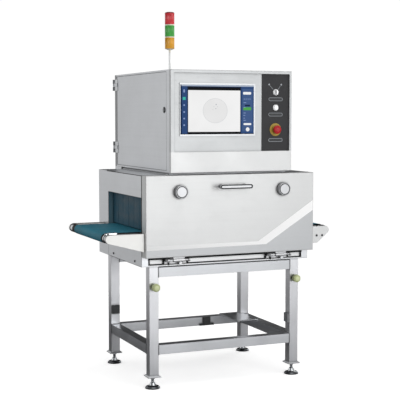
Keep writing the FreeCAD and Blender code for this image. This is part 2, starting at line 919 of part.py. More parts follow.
def curtain(name, x):
    """A lead-rubber curtain with a hem round its rod, slit into strips."""
    low = belt_top + s.curtain_lift
    front = curtain_front + SEAT
    back = mouth_back - SEAT
    sheet_body = box(name + "_sheet", (x - s.curtain_thick / 2, x + s.curtain_thick / 2), (front, back),
                     (low, curtain_rod_high))
    hem = rod(name + "_hem", s.curtain_hem, "+y", (x, front, curtain_rod_high), back - front)
    bore = rod(name + "_bore", s.curtain_rod + s.running_play, "+y",
               (x, front - OVERSHOOT, curtain_rod_high), back - front + 2 * OVERSHOOT)
    strip = (back - front) / s.curtain_strips
    slits = []
    for number in range(1, int(s.curtain_strips.value)):
        middle = front + strip * number
        slits.append(box(name + "_slit", (x - s.curtain_thick, x + s.curtain_thick),
                         (middle - s.curtain_slit / 2, middle + s.curtain_slit / 2),
                         (low - OVERSHOOT, curtain_rod_high - s.curtain_head)))
    keep(name, cut(name + "_cut", fuse(name + "_whole", sheet_body, hem), bore, *slits))


# Conveyor


def conveyor_supports():
    """Two channels across the cabinet's floor that carry the side rails."""
    low = s.cabinet_low + s.sheet
    back = mouth_back
    supports = []
    for x in (-s.support_x, s.support_x):
        half = s.support_wide / 2
        front = cabinet_front + s.sill_deep + s.sheet
        web = box("support_block", (x - half, x + half), (front, back), (low, rail_low - s.sheet))
        hollow = box("support_hollow", (x - half + s.sheet, x + half - s.sheet),
                     (front - OVERSHOOT, back + OVERSHOOT), (low - OVERSHOOT, rail_low - s.sheet * 2))
        top = box("support_top", (x - half, x + half), (rail_front - s.rail_flange, back),
                  (rail_low - s.sheet, rail_low))
        supports.append(fuse("support", cut("support_web", web, hollow), top))
    keep("conveyor_supports", group("supports", supports))


def rail_tapers(name, front, back):
    """What is cut from under a rail's ends, so that they slope as the cheeks beside them do."""
    full = boss_out + s.boss_radius
    rise = cheek_top - s.cheek_nose * 2 - rail_low
    wide = back - front + 2 * OVERSHOOT
    infeed_run = s.infeed_reach - rail_end - full
    outfeed_run = s.outfeed_reach - rail_end - full
    infeed_where = (-half_cabinet - full, front - OVERSHOOT, rail_low)
    outfeed_where = (half_cabinet + full, back + OVERSHOOT, rail_low)
    tapers = []
    for end, run, where, view in (("_infeed_taper", infeed_run, infeed_where, BACK_VIEW),
                                  ("_outfeed_taper", outfeed_run, outfeed_where, FRONT_VIEW)):
        points = [
            (0, -OVERSHOOT),
            (run + OVERSHOOT, -OVERSHOOT),
            (run + OVERSHOOT, rise),
            (run, rise),
            (0, 0),
        ]
        tapers.append(padded(name + end, points, wide, where, view))
    return tapers


def conveyor_rails():
    """Two channels beside the belt, with their flanges outwards."""
    start = infeed_axle + rail_end
    end = outfeed_axle - rail_end
    rails = []
    for name, face, way in (("rail_front", rail_front, -1), ("rail_rear", rail_back, 1)):
        web = face + way * s.sheet
        tip = face + way * s.rail_flange
        points = [
            (face, rail_low),
            (face, rail_top),
            (tip, rail_top),
            (tip, rail_top - s.sheet),
            (web, rail_top - s.sheet),
            (web, rail_low + s.sheet),
            (tip, rail_low + s.sheet),
            (tip, rail_low),
        ]
        rail = side_profile(name, points, start, end)
        tapers = rail_tapers(name, min_of(face, tip), max_of(face, tip))
        rails.append(cut(name + "_tapered", rail, *tapers))
    keep("conveyor_rails", group("rails", rails))


def slider_bed():
    """The bent sheet that the belt slides on, with a slit over the detector."""
    top = belt_top - s.belt_thick - s.belt_clear
    under = top - s.bed_sheet
    skirt = top - s.bed_skirt
    points = [
        (rail_front, skirt),
        (rail_front + s.bed_sheet, skirt),
        (rail_front + s.bed_sheet, under),
        (rail_back - s.bed_sheet, under),
        (rail_back - s.bed_sheet, skirt),
        (rail_back, skirt),
        (rail_back, top),
        (rail_front, top),
    ]
    reach = s.roller_radius + s.rail_end_gap * 2
    bed = side_profile("bed_sheet", points, infeed_axle + reach, outfeed_axle - reach)
    slit = box("bed_slit", (-s.slit_half, s.slit_half), (s.belt_front + s.sheet, belt_back - s.sheet),
               (under - OVERSHOOT, top + OVERSHOOT))
    keep("slider_bed", cut("bed", bed, slit))


def detector_bar():
    """The line detector under the belt, between the bed's skirts."""
    top = belt_top - s.belt_thick - s.belt_clear - s.bed_sheet
    keep("detector_bar", box("detector", (-s.detector_half, s.detector_half),
                             (rail_front + s.bed_sheet, rail_back - s.bed_sheet),
                             (top - s.detector_high, top)))


def loop(name, radius, front, back):
    """A solid with round ends at both rollers."""
    middle = box(name + "_middle", (infeed_axle, outfeed_axle), (front, back),
                 (roller_high - radius, roller_high + radius))
    ends = [rod(name + "_end", radius, "+y", (x, front, roller_high), back - front)
            for x in (infeed_axle, outfeed_axle)]
    return fuse(name, middle, *ends)


def conveyor_belt():
    """The endless belt."""
    outer = loop("belt_outer", belt_inner + s.belt_thick, s.belt_front, belt_back)
    inner = loop("belt_inner", belt_inner, s.belt_front - OVERSHOOT, belt_back + OVERSHOOT)
    keep("conveyor_belt", cut("belt", outer, inner))


def roller(name, x):
    """A drum that runs out past the belt to the cheeks, with a groove beside each belt edge."""
    start = s.cheek_front + s.cheek_thick
    length = cheek_back - s.cheek_thick - start
    shoulder = s.sheet
    groove_wide = s.rail_gap * 2
    front_groove = s.belt_front - start - s.sheet
    back_groove = length - (cheek_back - s.cheek_thick - belt_back) + s.sheet
    seat = s.cheek_bore_deep - s.running_play * 10
    deep = s.roller_radius - s.roller_groove
    profile = [
        (0, -seat),
        (s.roller_shaft, -seat),
        (s.roller_shaft, shoulder),
        (s.roller_radius, shoulder),
        (s.roller_radius, front_groove - groove_wide),
        (deep, front_groove - groove_wide),
        (deep, front_groove),
        (s.roller_radius, front_groove),
        (s.roller_radius, back_groove),
        (deep, back_groove),
        (deep, back_groove + groove_wide),
        (s.roller_radius, back_groove + groove_wide),
        (s.roller_radius, length - shoulder),
        (s.roller_shaft, length - shoulder),
        (s.roller_shaft, length + seat),
        (0, length + seat),
    ]
    keep(name, turned(name + "_drum", profile, (x, start, roller_high), "+y"))


def cheek_outline(outline, reach, flat):
    """A tapered side view: straight top, round nose, sloping underside and a short flat."""
    top, low, nose = cheek_top, cheek_low, s.cheek_nose
    heel = FreeCAD.Vector(s.cheek_gap.value, top.value, 0)
    crown = FreeCAD.Vector(reach.value, top.value, 0)
    middle = FreeCAD.Vector(reach.value, top.value - nose.value, 0)
    chin = middle + FreeCAD.Vector(math.cos(CHIN_TURN), math.sin(CHIN_TURN), 0) * nose.value
    toe = FreeCAD.Vector(s.cheek_gap.value + flat.value, low.value, 0)
    foot = FreeCAD.Vector(s.cheek_gap.value, low.value, 0)
    nose_circle = Part.Circle(middle, FreeCAD.Vector(0, 0, 1), nose.value)
    arc = Part.ArcOfCircle(nose_circle, CHIN_TURN, math.pi / 2)
    for item in (Part.LineSegment(heel, crown), arc, Part.LineSegment(chin, toe),
                 Part.LineSegment(toe, foot), Part.LineSegment(foot, heel)):
        outline.addGeometry(item, False)
    outline.addConstraint(Sketcher.Constraint("Tangent", 0, 2, 1, 2))
    outline.addConstraint(Sketcher.Constraint("Tangent", 1, 1, 2, 1))
    for line, following in ((2, 3), (3, 4), (4, 0)):
        outline.addConstraint(Sketcher.Constraint("Coincident", line, 2, following, 1))
    pin_point(outline, 0, 1, (s.cheek_gap, top))
    pin_point(outline, 1, 3, (reach, top - nose))
    pin_point(outline, 3, 1, (s.cheek_gap + flat, low))
    pin_point(outline, 4, 1, (s.cheek_gap, low))
    index = outline.addConstraint(Sketcher.Constraint("Radius", 1, nose.value))
    outline.setExpression(f"Constraints[{index}]", nose.text)


def cheek(name, side, front, reach, flat, screw_holes):
    """One side plate of a conveyor end, with its bearing bore and two bosses to the rail."""
    plate = doc.addObject("PartDesign::Body", name + "_plate")
    outline = new_sketch(plate, "XY_Plane")
    cheek_outline(outline, reach, flat)
    pad = plate.newObject("PartDesign::Pad", name + "_pad")
    pad.Profile = outline
    bind(pad, Length=s.cheek_thick)
    face = s.cheek_front if front else cheek_back - s.cheek_thick
    if side > 0:
        place(plate, half_cabinet, face + s.cheek_thick, 0, FRONT_VIEW)
    else:
        place(plate, -half_cabinet, face, 0, BACK_VIEW)
    inner = face + s.cheek_thick if front else face
    way, sign = ("-y", -1) if front else ("+y", 1)
    axle = side * (half_cabinet + reach)
    start = (axle, inner - sign * OVERSHOOT, roller_high)
    bore = rod(name + "_bore", s.roller_shaft + s.running_play, way, start, s.cheek_bore_deep + OVERSHOOT)
    tools = [bore]
    if screw_holes:
        tools += [rod(name + "_screw_hole", s.screw_shank, "+y", (x, s.cheek_front - OVERSHOOT, z),
                      s.sheet + OVERSHOOT) for x, z in cheek_screw_places()]
    seat = rail_front - s.rail_flange if front else rail_back + s.rail_flange
    bosses = [rod(name + "_boss", s.boss_radius, "+y", (side * (half_cabinet + out), min_of(inner, seat), z),
                  abs_of(seat - inner)) for out, z in boss_places()]
    return fuse(name, cut(name + "_bored", plate, *tools), *bosses)


def min_of(first, second):
    """The nearer of two places."""
    return first if first.value <= second.value else second


def max_of(first, second):
    """The further of two places."""
    return second if first.value <= second.value else first


def abs_of(size):
    """A distance without its sign."""
    return size if size.value >= 0 else -size


def boss_places():
    """Where the bosses stand: out from the cabinet's end, and high."""
    upper = rail_top - s.boss_radius - s.sheet
    lower = rail_low + s.boss_radius + s.sheet
    return [(boss_out, upper), (boss_out, lower)]


def cheek_screw_places():
    """Two small screws in the outfeed's front cheek, in X and Z."""
    high = cheek_low + s.cheek_screw_rise
    first = half_cabinet + s.outfeed_flat
    return [(first, high), (first + s.outfeed_flat, high)]


def conveyor_cheeks():
    """Both cheeks at the infeed, and both at the outfeed."""
    keep("infeed_cheeks", group("infeed_pair", [
        cheek("infeed_front", -1, True, s.infeed_reach, s.infeed_flat, False),
        cheek("infeed_rear", -1, False, s.infeed_reach, s.infeed_flat, False)]))
    keep("outfeed_cheeks", group("outfeed_pair", [
        cheek("outfeed_front", 1, True, s.outfeed_reach, s.outfeed_flat, True),
        cheek("outfeed_rear", 1, False, s.outfeed_reach, s.outfeed_flat, False)]))


# Front door


def latch_holes(deep_from, deep):
    """Bores for the latch shafts."""
    return [rod("latch_hole", s.latch_shaft + s.running_play, "+y", (x, deep_from, latch_high), deep)
            for x in (-s.latch_x, s.latch_x)]


def door_pan():
    """The boxed outer skin of the door, with a softly rounded front rim."""
    lining = s.door_deep - s.sheet
    outer = box("door_outer", (-half_cabinet, half_cabinet), (0, lining), (door_low, cabinet_top))

    def on_front_rim(edge):
        return abs(edge.BoundBox.YMax + middle_y.value) < 0.01

    rounded = soften("door_rounded", outer, s.door_edge, on_front_rim)
    inner = box("door_inner", (-half_cabinet + s.door_sheet, half_cabinet - s.door_sheet),
                (s.door_sheet + SEAT, lining + OVERSHOOT),
                (door_low + s.door_sheet, cabinet_top - s.door_sheet))
    keep("door_pan", cut("door_skin", rounded, inner, *latch_holes(-OVERSHOOT, s.door_sheet + 2 * OVERSHOOT)))


def door_lining():
    """The lead-lined inner plate that closes the tunnel's front."""
    front = s.door_deep - s.sheet
    plate = box("lining_plate", (-half_cabinet, half_cabinet), (front, s.door_deep), (door_low, cabinet_top))
    bores = latch_holes(front - OVERSHOOT, s.sheet + 2 * OVERSHOOT)
    keep("door_lining", cut("lining", plate, *bores))


def latch_knob(name, x, inwards):
    """A round knob on a shaft through the door; its cam points inwards at rest, and locks pointing up."""
    face = s.latch_proud
    rim = s.latch_radius
    groove = rim - rim / 8
    dish = groove - rim / 8
    cam_front = cabinet_front + s.sheet * 2 + s.cam_gap
    profile = [
        (0, -cam_front - s.cam_thick),
        (s.latch_shaft, -cam_front - s.cam_thick),
        (s.latch_shaft, SEAT),
        (rim * 2 / 3, SEAT),
        (rim * 2 / 3, s.door_sheet),
        (rim - s.door_sheet, s.door_sheet),
        (rim, s.door_sheet * 2),
        (rim, face - s.door_sheet),
        (rim - s.door_sheet, face),
        (groove, face),
        (groove, face - s.door_sheet),
        (dish, face - s.door_sheet),
        (dish, face),
        (0, face),
    ]
    knob = turned(name + "_turned", profile, (x, Size.of(0), latch_high), "-y")
    tip = x + inwards * s.cam_reach
    cam = box(name + "_cam", (min_of(x, tip), max_of(x, tip)), (cam_front, cam_front + s.cam_thick),
              (latch_high - s.cam_wide / 2, latch_high + s.cam_wide / 2))
    keep(name, fuse(name + "_whole", knob, cam))


def door_handle():
    """A pull handle: a round-ended bar with a sunk face on two posts with washers."""
    back = -(s.handle_proud - s.handle_bar)
    centre = (Size.of(0), handle_high)
    bar = flat_bar("handle_bar_whole", s.handle_wide, s.handle_high, s.handle_bar, centre, back)
    rim = s.handle_high / 5
    sunk = flat_bar("handle_sunk", s.handle_wide - rim * 2, s.handle_high - rim * 2, s.door_sheet + OVERSHOOT,
                    centre, -(s.handle_proud - s.door_sheet))
    posts = [rod("handle_post", s.handle_post, "-y", (x, Size.of(0), handle_high), -back + s.door_sheet)
             for x in (-s.handle_post_x, s.handle_post_x)]
    washers = [rod("handle_washer", s.handle_high / 2, "-y", (x, Size.of(0), handle_high), s.door_sheet)
               for x in (-s.handle_post_x, s.handle_post_x)]
    keep("door_handle", fuse("handle", cut("handle_dished", bar, sunk), *posts, *washers))


def door_hinge_leaves():
    """A knuckle and a plate under the door at each hinge."""
    leaves = []
    for x in (-s.hinge_x, s.hinge_x):
        half = s.knuckle_wide / 2
        start = (x - half, s.hinge_forward, hinge_high)
        barrel = rod("knuckle", s.knuckle_radius, "+x", start, s.knuckle_wide)
        arm = box("knuckle_arm", (x - half, x + half),
                  (s.hinge_forward - s.knuckle_radius / 2, s.hinge_forward + s.knuckle_radius / 2),
                  (hinge_high, door_low))
        bore = rod("knuckle_bore", s.hinge_pin + s.running_play, "+x",
                   (x - half - OVERSHOOT, s.hinge_forward, hinge_high), s.knuckle_wide + 2 * OVERSHOOT)
        leaves.append(cut("hinge_leaf", fuse("leaf_solid", barrel, arm), bore))
    keep("door_hinge_leaves", group("leaves", leaves))


def hinge_brackets():
    """Plates on the sill's rib, each with two ears and the hinge pin between them."""
    rib_front = cabinet_front + s.sill_deep - s.sheet - s.sill_rib
    brackets = []
    for x in (-s.hinge_x, s.hinge_x):
        half = s.hinge_wide / 2
        plate = box("hinge_plate", (x - half, x + half), (rib_front - s.sheet, rib_front),
                    (sill_rib_low, sill_rib_low + s.sill_rib_high))
        pieces = [plate]
        for ear_x in (x - half, x + half - s.hinge_ear):
            start = (ear_x, s.hinge_forward, hinge_high)
            pieces.append(rod("ear_eye", s.hinge_eye, "+x", start, s.hinge_ear))
            pieces.append(box("ear_arm", (ear_x, ear_x + s.hinge_ear), (s.hinge_forward, rib_front - s.sheet),
                              (hinge_high - s.hinge_eye, sill_rib_low + s.sill_rib_high)))
        pieces.append(rod("pin", s.hinge_pin, "+x", (x - half, s.hinge_forward, hinge_high), s.hinge_wide))
        brackets.append(fuse("hinge_bracket", *pieces))
    keep("hinge_brackets", group("brackets", brackets + hinge_adjusters()))


def hinge_adjusters():
    """A small round-headed adjusting screw under each hinge pin."""
    rib_front = cabinet_front + s.sill_deep - s.sheet - s.sill_rib
    screws = []
    for x in (-s.hinge_x, s.hinge_x):
        start = (x + s.hinge_eye * 2, rib_front - s.sheet, sill_rib_low + s.hinge_pin)
        stem = rod("adjuster_stem", s.hinge_pin, "-y", start, s.adjuster_reach)
        head_start = (start[0], start[1] - s.adjuster_reach, start[2])
        head = rod("adjuster_head", s.knuckle_radius, "-y", head_start, s.hinge_ear)
        screws.append(fuse("adjuster", stem, head))
    return screws


# Console


def console_shell():
    """Top, bottom, back and sides of the console on its plinth, with a rimmed side opening."""
    sheet_thick = s.console_sheet
    outer = box("console_outer", (-half_console, half_console), (shell_front, console_back),
                (console_low, console_top))
    inner = box("console_inner", (-half_console + sheet_thick, half_console - sheet_thick),
                (shell_front - OVERSHOOT, console_back - sheet_thick),
                (console_low + sheet_thick, console_top - sheet_thick))
    gap = s.side_door_gap
    opening = box("side_opening", (-half_console - OVERSHOOT, -half_console + sheet_thick + OVERSHOOT),
                  (s.side_door_front - gap, s.side_door_back + gap),
                  (side_door_low - gap, side_door_top + gap))
    hollow = cut("console_walls", outer, inner, opening)
    rim_x = -half_console + s.side_door_deep + sheet_thick
    lap = s.rim_lap
    ring = box("rim_plate", (rim_x, rim_x + sheet_thick), (shell_front, console_back - sheet_thick),
               (console_low + sheet_thick, console_top - sheet_thick))
    window = box("rim_window", (rim_x - OVERSHOOT, rim_x + sheet_thick + OVERSHOOT),
                 (s.side_door_front + lap, s.side_door_back - lap),
                 (side_door_low + lap, side_door_top - lap))
    rim = cut("side_rim", ring, window)
    plinth_outer = box("plinth_outer", (-half_console + s.plinth_inset, half_console - s.plinth_inset),
                       (cabinet_front, cabinet_back - s.plinth_inset),
                       (cabinet_top, console_low))
    plinth_reach = half_console - s.plinth_inset * 2
    plinth_inner = box("plinth_inner", (-plinth_reach, plinth_reach),
                       (cabinet_front + s.plinth_inset, cabinet_back - s.plinth_inset * 2),
                       (cabinet_top - OVERSHOOT, console_low))
    plinth = cut("plinth", plinth_outer, plinth_inner)
    slot = beam_slot("console_slot", console_low, console_low + sheet_thick)
    whole = fuse("console_whole", hollow, rim, plinth)
    keep("console_shell", cut("console", whole, slot))


lock_y = s.side_door_front + s.lock_inset
hinge_axis_x = -half_console - s.side_hinge_out
hinge_axis_y = console_back + s.side_hinge_back


def console_door():
    """The side door: a shallow pan with a strap and a knuckle at each hinge."""
    sheet_thick = s.console_sheet
    outer_x = -half_console
    pan = box("side_pan", (outer_x, outer_x + s.side_door_deep), (s.side_door_front, s.side_door_back),
              (side_door_low, side_door_top))
    hollow = box("side_hollow", (outer_x + sheet_thick, outer_x + s.side_door_deep + OVERSHOOT),
                 (s.side_door_front + sheet_thick, s.side_door_back - sheet_thick),
                 (side_door_low + sheet_thick, side_door_top - sheet_thick))
    lock_hole = rod("lock_hole", s.lock_radius - s.console_sheet + s.running_play, "+x",
                    (outer_x - OVERSHOOT, lock_y, lock_high), sheet_thick + 2 * OVERSHOOT)
    pieces = [cut("side_skin", pan, hollow, lock_hole)]
    strap_out = outer_x - sheet_thick * 2
    third = s.side_hinge_high / 3
    for low in (side_hinge_low, side_hinge_top):
        z = (low + third + SEAT, low + third * 2 - SEAT)
        pieces.append(box("strap", (strap_out, outer_x - SEAT), (s.side_door_back - third, hinge_axis_y), z))
        pieces.append(box("strap_seat", (outer_x - SEAT, outer_x),
                          (s.side_door_back - third, s.side_door_back - sheet_thick), z))
        start = (hinge_axis_x, hinge_axis_y, z[0])
        pieces.append(rod("door_knuckle", s.side_knuckle, "+z", start, z[1] - z[0]))
    bores = [rod("door_knuckle_bore", s.side_pin + s.running_play, "+z",
                 (hinge_axis_x, hinge_axis_y, low - OVERSHOOT), s.side_hinge_high + 2 * OVERSHOOT)
             for low in (side_hinge_low, side_hinge_top)]
    keep("console_door", cut("side_door", fuse("side_door_whole", *pieces), *bores))


def console_hinges():
    """Fixed leaves on the console's back, each with two knuckles and the pin."""
    hinges = []
    third = s.side_hinge_high / 3
    for low in (side_hinge_low, side_hinge_top):
        pieces = [rod("side_pin_rod", s.side_pin, "+z", (hinge_axis_x, hinge_axis_y, low), s.side_hinge_high)]
        for z in (low, low + third * 2):
            pieces.append(box("side_leaf", (hinge_axis_x, -half_console + third),
                              (console_back, console_back + s.sheet), (z, z + third)))
            pieces.append(rod("fixed_knuckle", s.side_knuckle, "+z", (hinge_axis_x, hinge_axis_y, z), third))
        pieces.append(box("leaf_bridge", (-half_console + third / 2, -half_console + third),
                          (console_back, console_back + s.sheet), (low, low + s.side_hinge_high)))
        hinges.append(fuse("console_hinge", *pieces))
    keep("console_hinges", group("hinges", hinges))


def console_lock():
    """The cam lock in the side door; its cam stands upright at rest, clear of the rim."""
    outer_x = -half_console
    cam_x = outer_x + s.side_door_deep + s.console_sheet * 3
    barrel = s.lock_radius - s.console_sheet
    head = rod("lock_head", s.lock_radius, "+x", (outer_x - s.sheet, lock_y, lock_high), s.sheet - SEAT / 3)
    body = rod("lock_barrel", barrel, "+x", (outer_x - s.sheet, lock_y, lock_high), cam_x - outer_x + s.sheet)
    slot = box("lock_key_slot", (outer_x - s.sheet - OVERSHOOT, outer_x - s.sheet + OVERSHOOT),
               (lock_y - s.slit_half, lock_y + s.slit_half),
               (lock_high - OVERSHOOT, lock_high + OVERSHOOT))
    cam = box("lock_cam_bar", (cam_x, cam_x + s.console_sheet), (lock_y - barrel / 2, lock_y + barrel / 2),
              (lock_high - barrel / 2, lock_high + s.lock_cam))
    keep("console_lock", cut("lock", fuse("lock_whole", head, body, cam), slot))


device_places = {"selector": selector_high, "button": button_high, "stop": stop_high}


def device_holes(front, deep):
    """Round holes for the three control devices."""
    return [rod("device_hole", s.device_barrel, "+y", (control_x, front, z), deep)
            for z in device_places.values()]


def console_fascia():
    """The front: a shallow box with a wide recess for the screen and the controls."""
    back = shell_front
    thin = s.console_sheet
    outer = box("fascia_outer", (-half_console, half_console), (s.console_front, back),
                (console_low, console_top))

    def on_front_rim(edge):
        return abs(edge.BoundBox.YMax + middle_y.value - s.console_front.value) < 0.01

    rounded = soften("fascia_rounded", outer, s.console_sheet, on_front_rim)
    recess = box("fascia_recess", (-half_console + s.recess_left, half_console - s.recess_right),
                 (s.console_front - OVERSHOOT, recess_floor), (recess_low, recess_top))
    hollow = box("fascia_hollow", (-half_console + thin, half_console - thin),
                 (s.console_front + s.sheet, back + OVERSHOOT), (console_low + thin, recess_low - thin))
    window = box("fascia_window", screen_span(-s.bezel), (recess_floor - OVERSHOOT, back + OVERSHOOT),
                 screen_rise(-s.bezel))
    holes = device_holes(recess_floor - OVERSHOOT, s.front_deep)
    keep("console_fascia", cut("fascia", rounded, recess, hollow, window, *holes))


def screen_span(grow):
    """The screen's two limits in X, grown by a margin."""
    return (s.screen_x - s.screen_wide / 2 - grow, s.screen_x + s.screen_wide / 2 + grow)


def screen_rise(grow):
    """The screen's two limits in Z, grown by a margin."""
    return (screen_low - grow, screen_low + s.screen_high + grow)


def touch_panel():
    """The panel computer: a thin steel bezel in front and its housing behind the console's front."""
    bezel = box("bezel_plate", screen_span(s.bezel), (recess_floor - s.bezel_proud, recess_floor),
                screen_rise(s.bezel))
    housing = box("panel_housing", screen_span(-s.bezel - SEAT), (recess_floor, recess_floor + s.panel_deep),
                  screen_rise(-s.bezel - SEAT))
    pocket = box("glass_pocket", screen_span(0), (recess_floor - s.bezel_proud - OVERSHOOT,
                                                  recess_floor - s.bezel_proud / 4), screen_rise(0))
    keep("touch_panel", cut("panel", fuse("panel_whole", bezel, housing), pocket))


def screen_glass():
    """The glass in the bezel."""
    back = recess_floor - s.bezel_proud / 4
    pane = box("glass", screen_span(-SEAT), (back - s.bezel_proud / 2, back), screen_rise(-SEAT))
    keep("screen_glass", pane)


def control_plate():
    """The dark plate under the control devices."""
    right = half_console - s.recess_right - SEAT
    plate = box("control_sheet", (right - s.control_wide, right), (control_face, recess_floor),
                (recess_low + SEAT, recess_top - SEAT))
    holes = device_holes(control_face - OVERSHOOT, s.control_thick + 2 * OVERSHOOT)
    keep("control_plate", cut("control", plate, *holes))


def label_plates():
    """Bare round-ended plates below the three devices."""
    drops = {"selector": s.label_drop, "button": s.label_drop, "stop": s.stop_label_drop}
    labels = [flat_bar("label", s.label_wide, s.label_high, s.control_thick / 2,
                       (control_x, device_places[name] - drop), control_face)
              for name, drop in drops.items()]
    keep("label_plates", group("labels", labels))


def bezel_ring(name, high):
    """A round bezel with its barrel through the plate."""
    bore = s.device_radius + s.running_play
    profile = [
        (bore, -s.device_deep),
        (s.device_barrel - s.running_play, -s.device_deep),
        (s.device_barrel - s.running_play, 0),
        (s.bezel_radius, 0),
        (s.bezel_radius, s.bezel_stand / 2),
        (s.bezel_radius - s.bezel_stand / 4, s.bezel_stand),
        (bore, s.bezel_stand),
    ]
    return turned(name, profile, (control_x, control_face, high), "-y")


def button_bezels():
    """The steel bezels of the selector and the push button."""
    keep("button_bezels", group("bezels", [bezel_ring("selector_bezel", selector_high),
                                           bezel_ring("button_bezel", button_high)]))


def selector_knob():
    """The selector: a round base with a raised grip bar across it."""
    start = (control_x, control_face + s.device_deep, selector_high)
    base = rod("selector_base", s.device_radius, "-y", start, s.device_deep + s.bezel_stand + s.sheet)
    grip = box("selector_grip", (control_x - s.sheet, control_x + s.sheet),
               (control_face - s.selector_proud, control_face - s.bezel_stand),
               (selector_high - s.device_radius + s.running_play,
                selector_high + s.device_radius - s.running_play))
    keep("selector_knob", fuse("selector", base, grip))


def push_button():
    """The push button's cap and plunger; it stands proud of its bezel by its travel."""
    profile = [
        (0, -s.device_deep + s.button_travel * 2),
        (s.device_radius, -s.device_deep + s.button_travel * 2),
        (s.device_radius, s.bezel_stand + s.button_travel / 2),
        (s.device_radius - s.button_travel / 4, s.bezel_stand + s.button_travel),
        (0, s.bezel_stand + s.button_travel),
    ]
    keep("push_button", turned("button", profile, (control_x, control_face, button_high), "-y"))


def stop_collar():
    """The emergency stop's round collar with its barrel."""
    bore = s.device_radius - s.sheet + s.running_play
    thick = s.bezel_stand
    profile = [
        (bore, -s.device_deep),
        (s.device_barrel - s.running_play, -s.device_deep),
        (s.device_barrel - s.running_play, 0),
        (s.stop_collar, 0),
        (s.stop_collar, thick / 4),
        (s.stop_collar - thick / 2, thick / 2),
        (s.bezel_radius + thick, thick / 2),
        (s.bezel_radius + thick / 2, thick * 2),
        (bore, thick * 2),
    ]
    keep("stop_collar", turned("collar", profile, (control_x, control_face, stop_high), "-y"))


def stop_mushroom():
    """The red mushroom head on its stem."""
    stem = s.device_radius - s.sheet
    under = s.bezel_stand * 2 + s.stop_travel + SEAT
    top = s.stop_proud
    profile = [
        (0, -s.device_deep + s.stop_travel * 2),
        (stem, -s.device_deep + s.stop_travel * 2),
        (stem, under),
        (s.stop_mushroom - s.sheet, under),
        (s.stop_mushroom, under + s.sheet),
        (s.stop_mushroom, top - s.sheet * 2),
        (s.stop_mushroom - s.sheet, top - s.sheet),
        (s.stop_mushroom / 2, top),
        (0, top),
    ]
    keep("stop_mushroom", turned("mushroom", profile, (control_x, control_face, stop_high), "-y"))


def rear_housing():
    """The electrical housing behind the cabinet, below the console's overhang."""
    thin = s.console_sheet
    back = console_back - thin
    outer = box("rear_outer", (-half_console, half_console), (cabinet_back, back), (rear_low, console_low))
    reach = half_console - thin
    inner = box("rear_inner", (-reach, reach), (cabinet_back + thin, back + OVERSHOOT),
                (rear_low + thin, console_low - thin))
    hole = rod("gland_hole", s.gland_radius - s.sheet, "+z",
               (half_console / 2, (cabinet_back + back) / 2, rear_low - OVERSHOOT), thin + 2 * OVERSHOOT)
    keep("rear_housing", cut("rear_box", outer, inner, hole))


def rear_cover():
    """The cover of the rear housing with a stack of vent slots."""
    thin = s.console_sheet
    back = console_back
    cover = box("cover_sheet", (-half_console, half_console), (back - thin, back), (rear_low, console_low))
    slots = []
    for number in range(int(s.louvres.value)):
        low = rear_low + s.louvre_pitch * (number + 2)
        slots.append(box("vent_slot", (-half_console / 2, half_console / 2),
                         (back - thin - OVERSHOOT, back + OVERSHOOT), (low, low + s.louvre_high)))
    keep("rear_cover", cut("cover", cover, *slots))


def cable_gland():
    """The supply cable's gland in the floor of the rear housing."""
    middle = (cabinet_back + console_back - s.console_sheet) / 2
    bore = s.gland_radius / 2
    inside = s.console_sheet + s.sheet
    neck = s.gland_radius - s.sheet
    profile = [
        (bore, -s.gland_radius * 2),
        (neck, -s.gland_radius * 2),
        (s.gland_radius, -s.gland_radius * 1.5),
        (s.gland_radius, 0),
        (neck, 0),
        (neck, inside),
        (bore, inside),
    ]
    keep("cable_gland", turned("gland", profile, (half_console / 2, middle, rear_low), "+z"))


def xray_generator():
    """The tube tank on two feet, with cooling fins, and the fan-shaped duct below it."""
    back = s.source_front + s.source_deep
    top = source_low + s.source_high
    tank = box("tank", (-s.source_half, s.source_half), (s.source_front, back), (source_low, top))
    pieces = [tank]
    floor = console_low + s.console_sheet
    for x in (-s.source_half, s.source_half - s.sheet * 2):
        pieces.append(box("tank_foot", (x, x + s.sheet * 2), (s.source_front, back), (floor, source_low)))
    fin_pitch = s.source_half * 2 / (s.source_fins + 1)
    for number in range(int(s.source_fins.value)):
        x = -s.source_half + fin_pitch * (number + 1) - s.sheet / 2
        pieces.append(box("tank_fin", (x, x + s.sheet), (s.source_front, back), (top, top + s.fin_high)))
    roof = hood_top + s.sheet
    length = source_low - roof
    thin = s.console_sheet
    outer = wedge("duct_outer", (Size.of(0), belt_middle, roof), (s.duct_half, s.fan_foot - s.sheet),
                  (s.duct_half, s.fan_top), length)
    clear = s.duct_half - thin
    inner = wedge("duct_inner", (Size.of(0), belt_middle, roof), (clear, s.fan_foot - s.sheet - thin),
                  (clear, s.fan_top - thin), length)
    pieces.append(cut("duct", outer, inner))
    keep("xray_generator", fuse("generator", *pieces))


def component_plate():
    """The plate inside the console's right wall with its drive and control modules."""
    wall = half_console - s.console_sheet
    front = belt_middle - s.rack_deep / 4
    low = console_low + s.rack_high / 6
    plate = box("rack_sheet", (wall - s.sheet, wall), (front, front + s.rack_deep), (low, low + s.rack_high))
    pieces = [plate]
    pitch = s.rack_deep / 3
    module_deep = s.rack_deep / 5
    high = low + s.rack_high / 4
    for number, wide in enumerate((module_deep / 2, module_deep, module_deep / 2)):
        y = front + pitch * number + (pitch - module_deep) / 2
        pieces.append(box("rack_module", (wall - wide, wall - s.sheet), (y, y + module_deep),
                          (high, high + s.rack_high / 2)))
    keep("component_plate", fuse("rack", *pieces))


# Signal tower


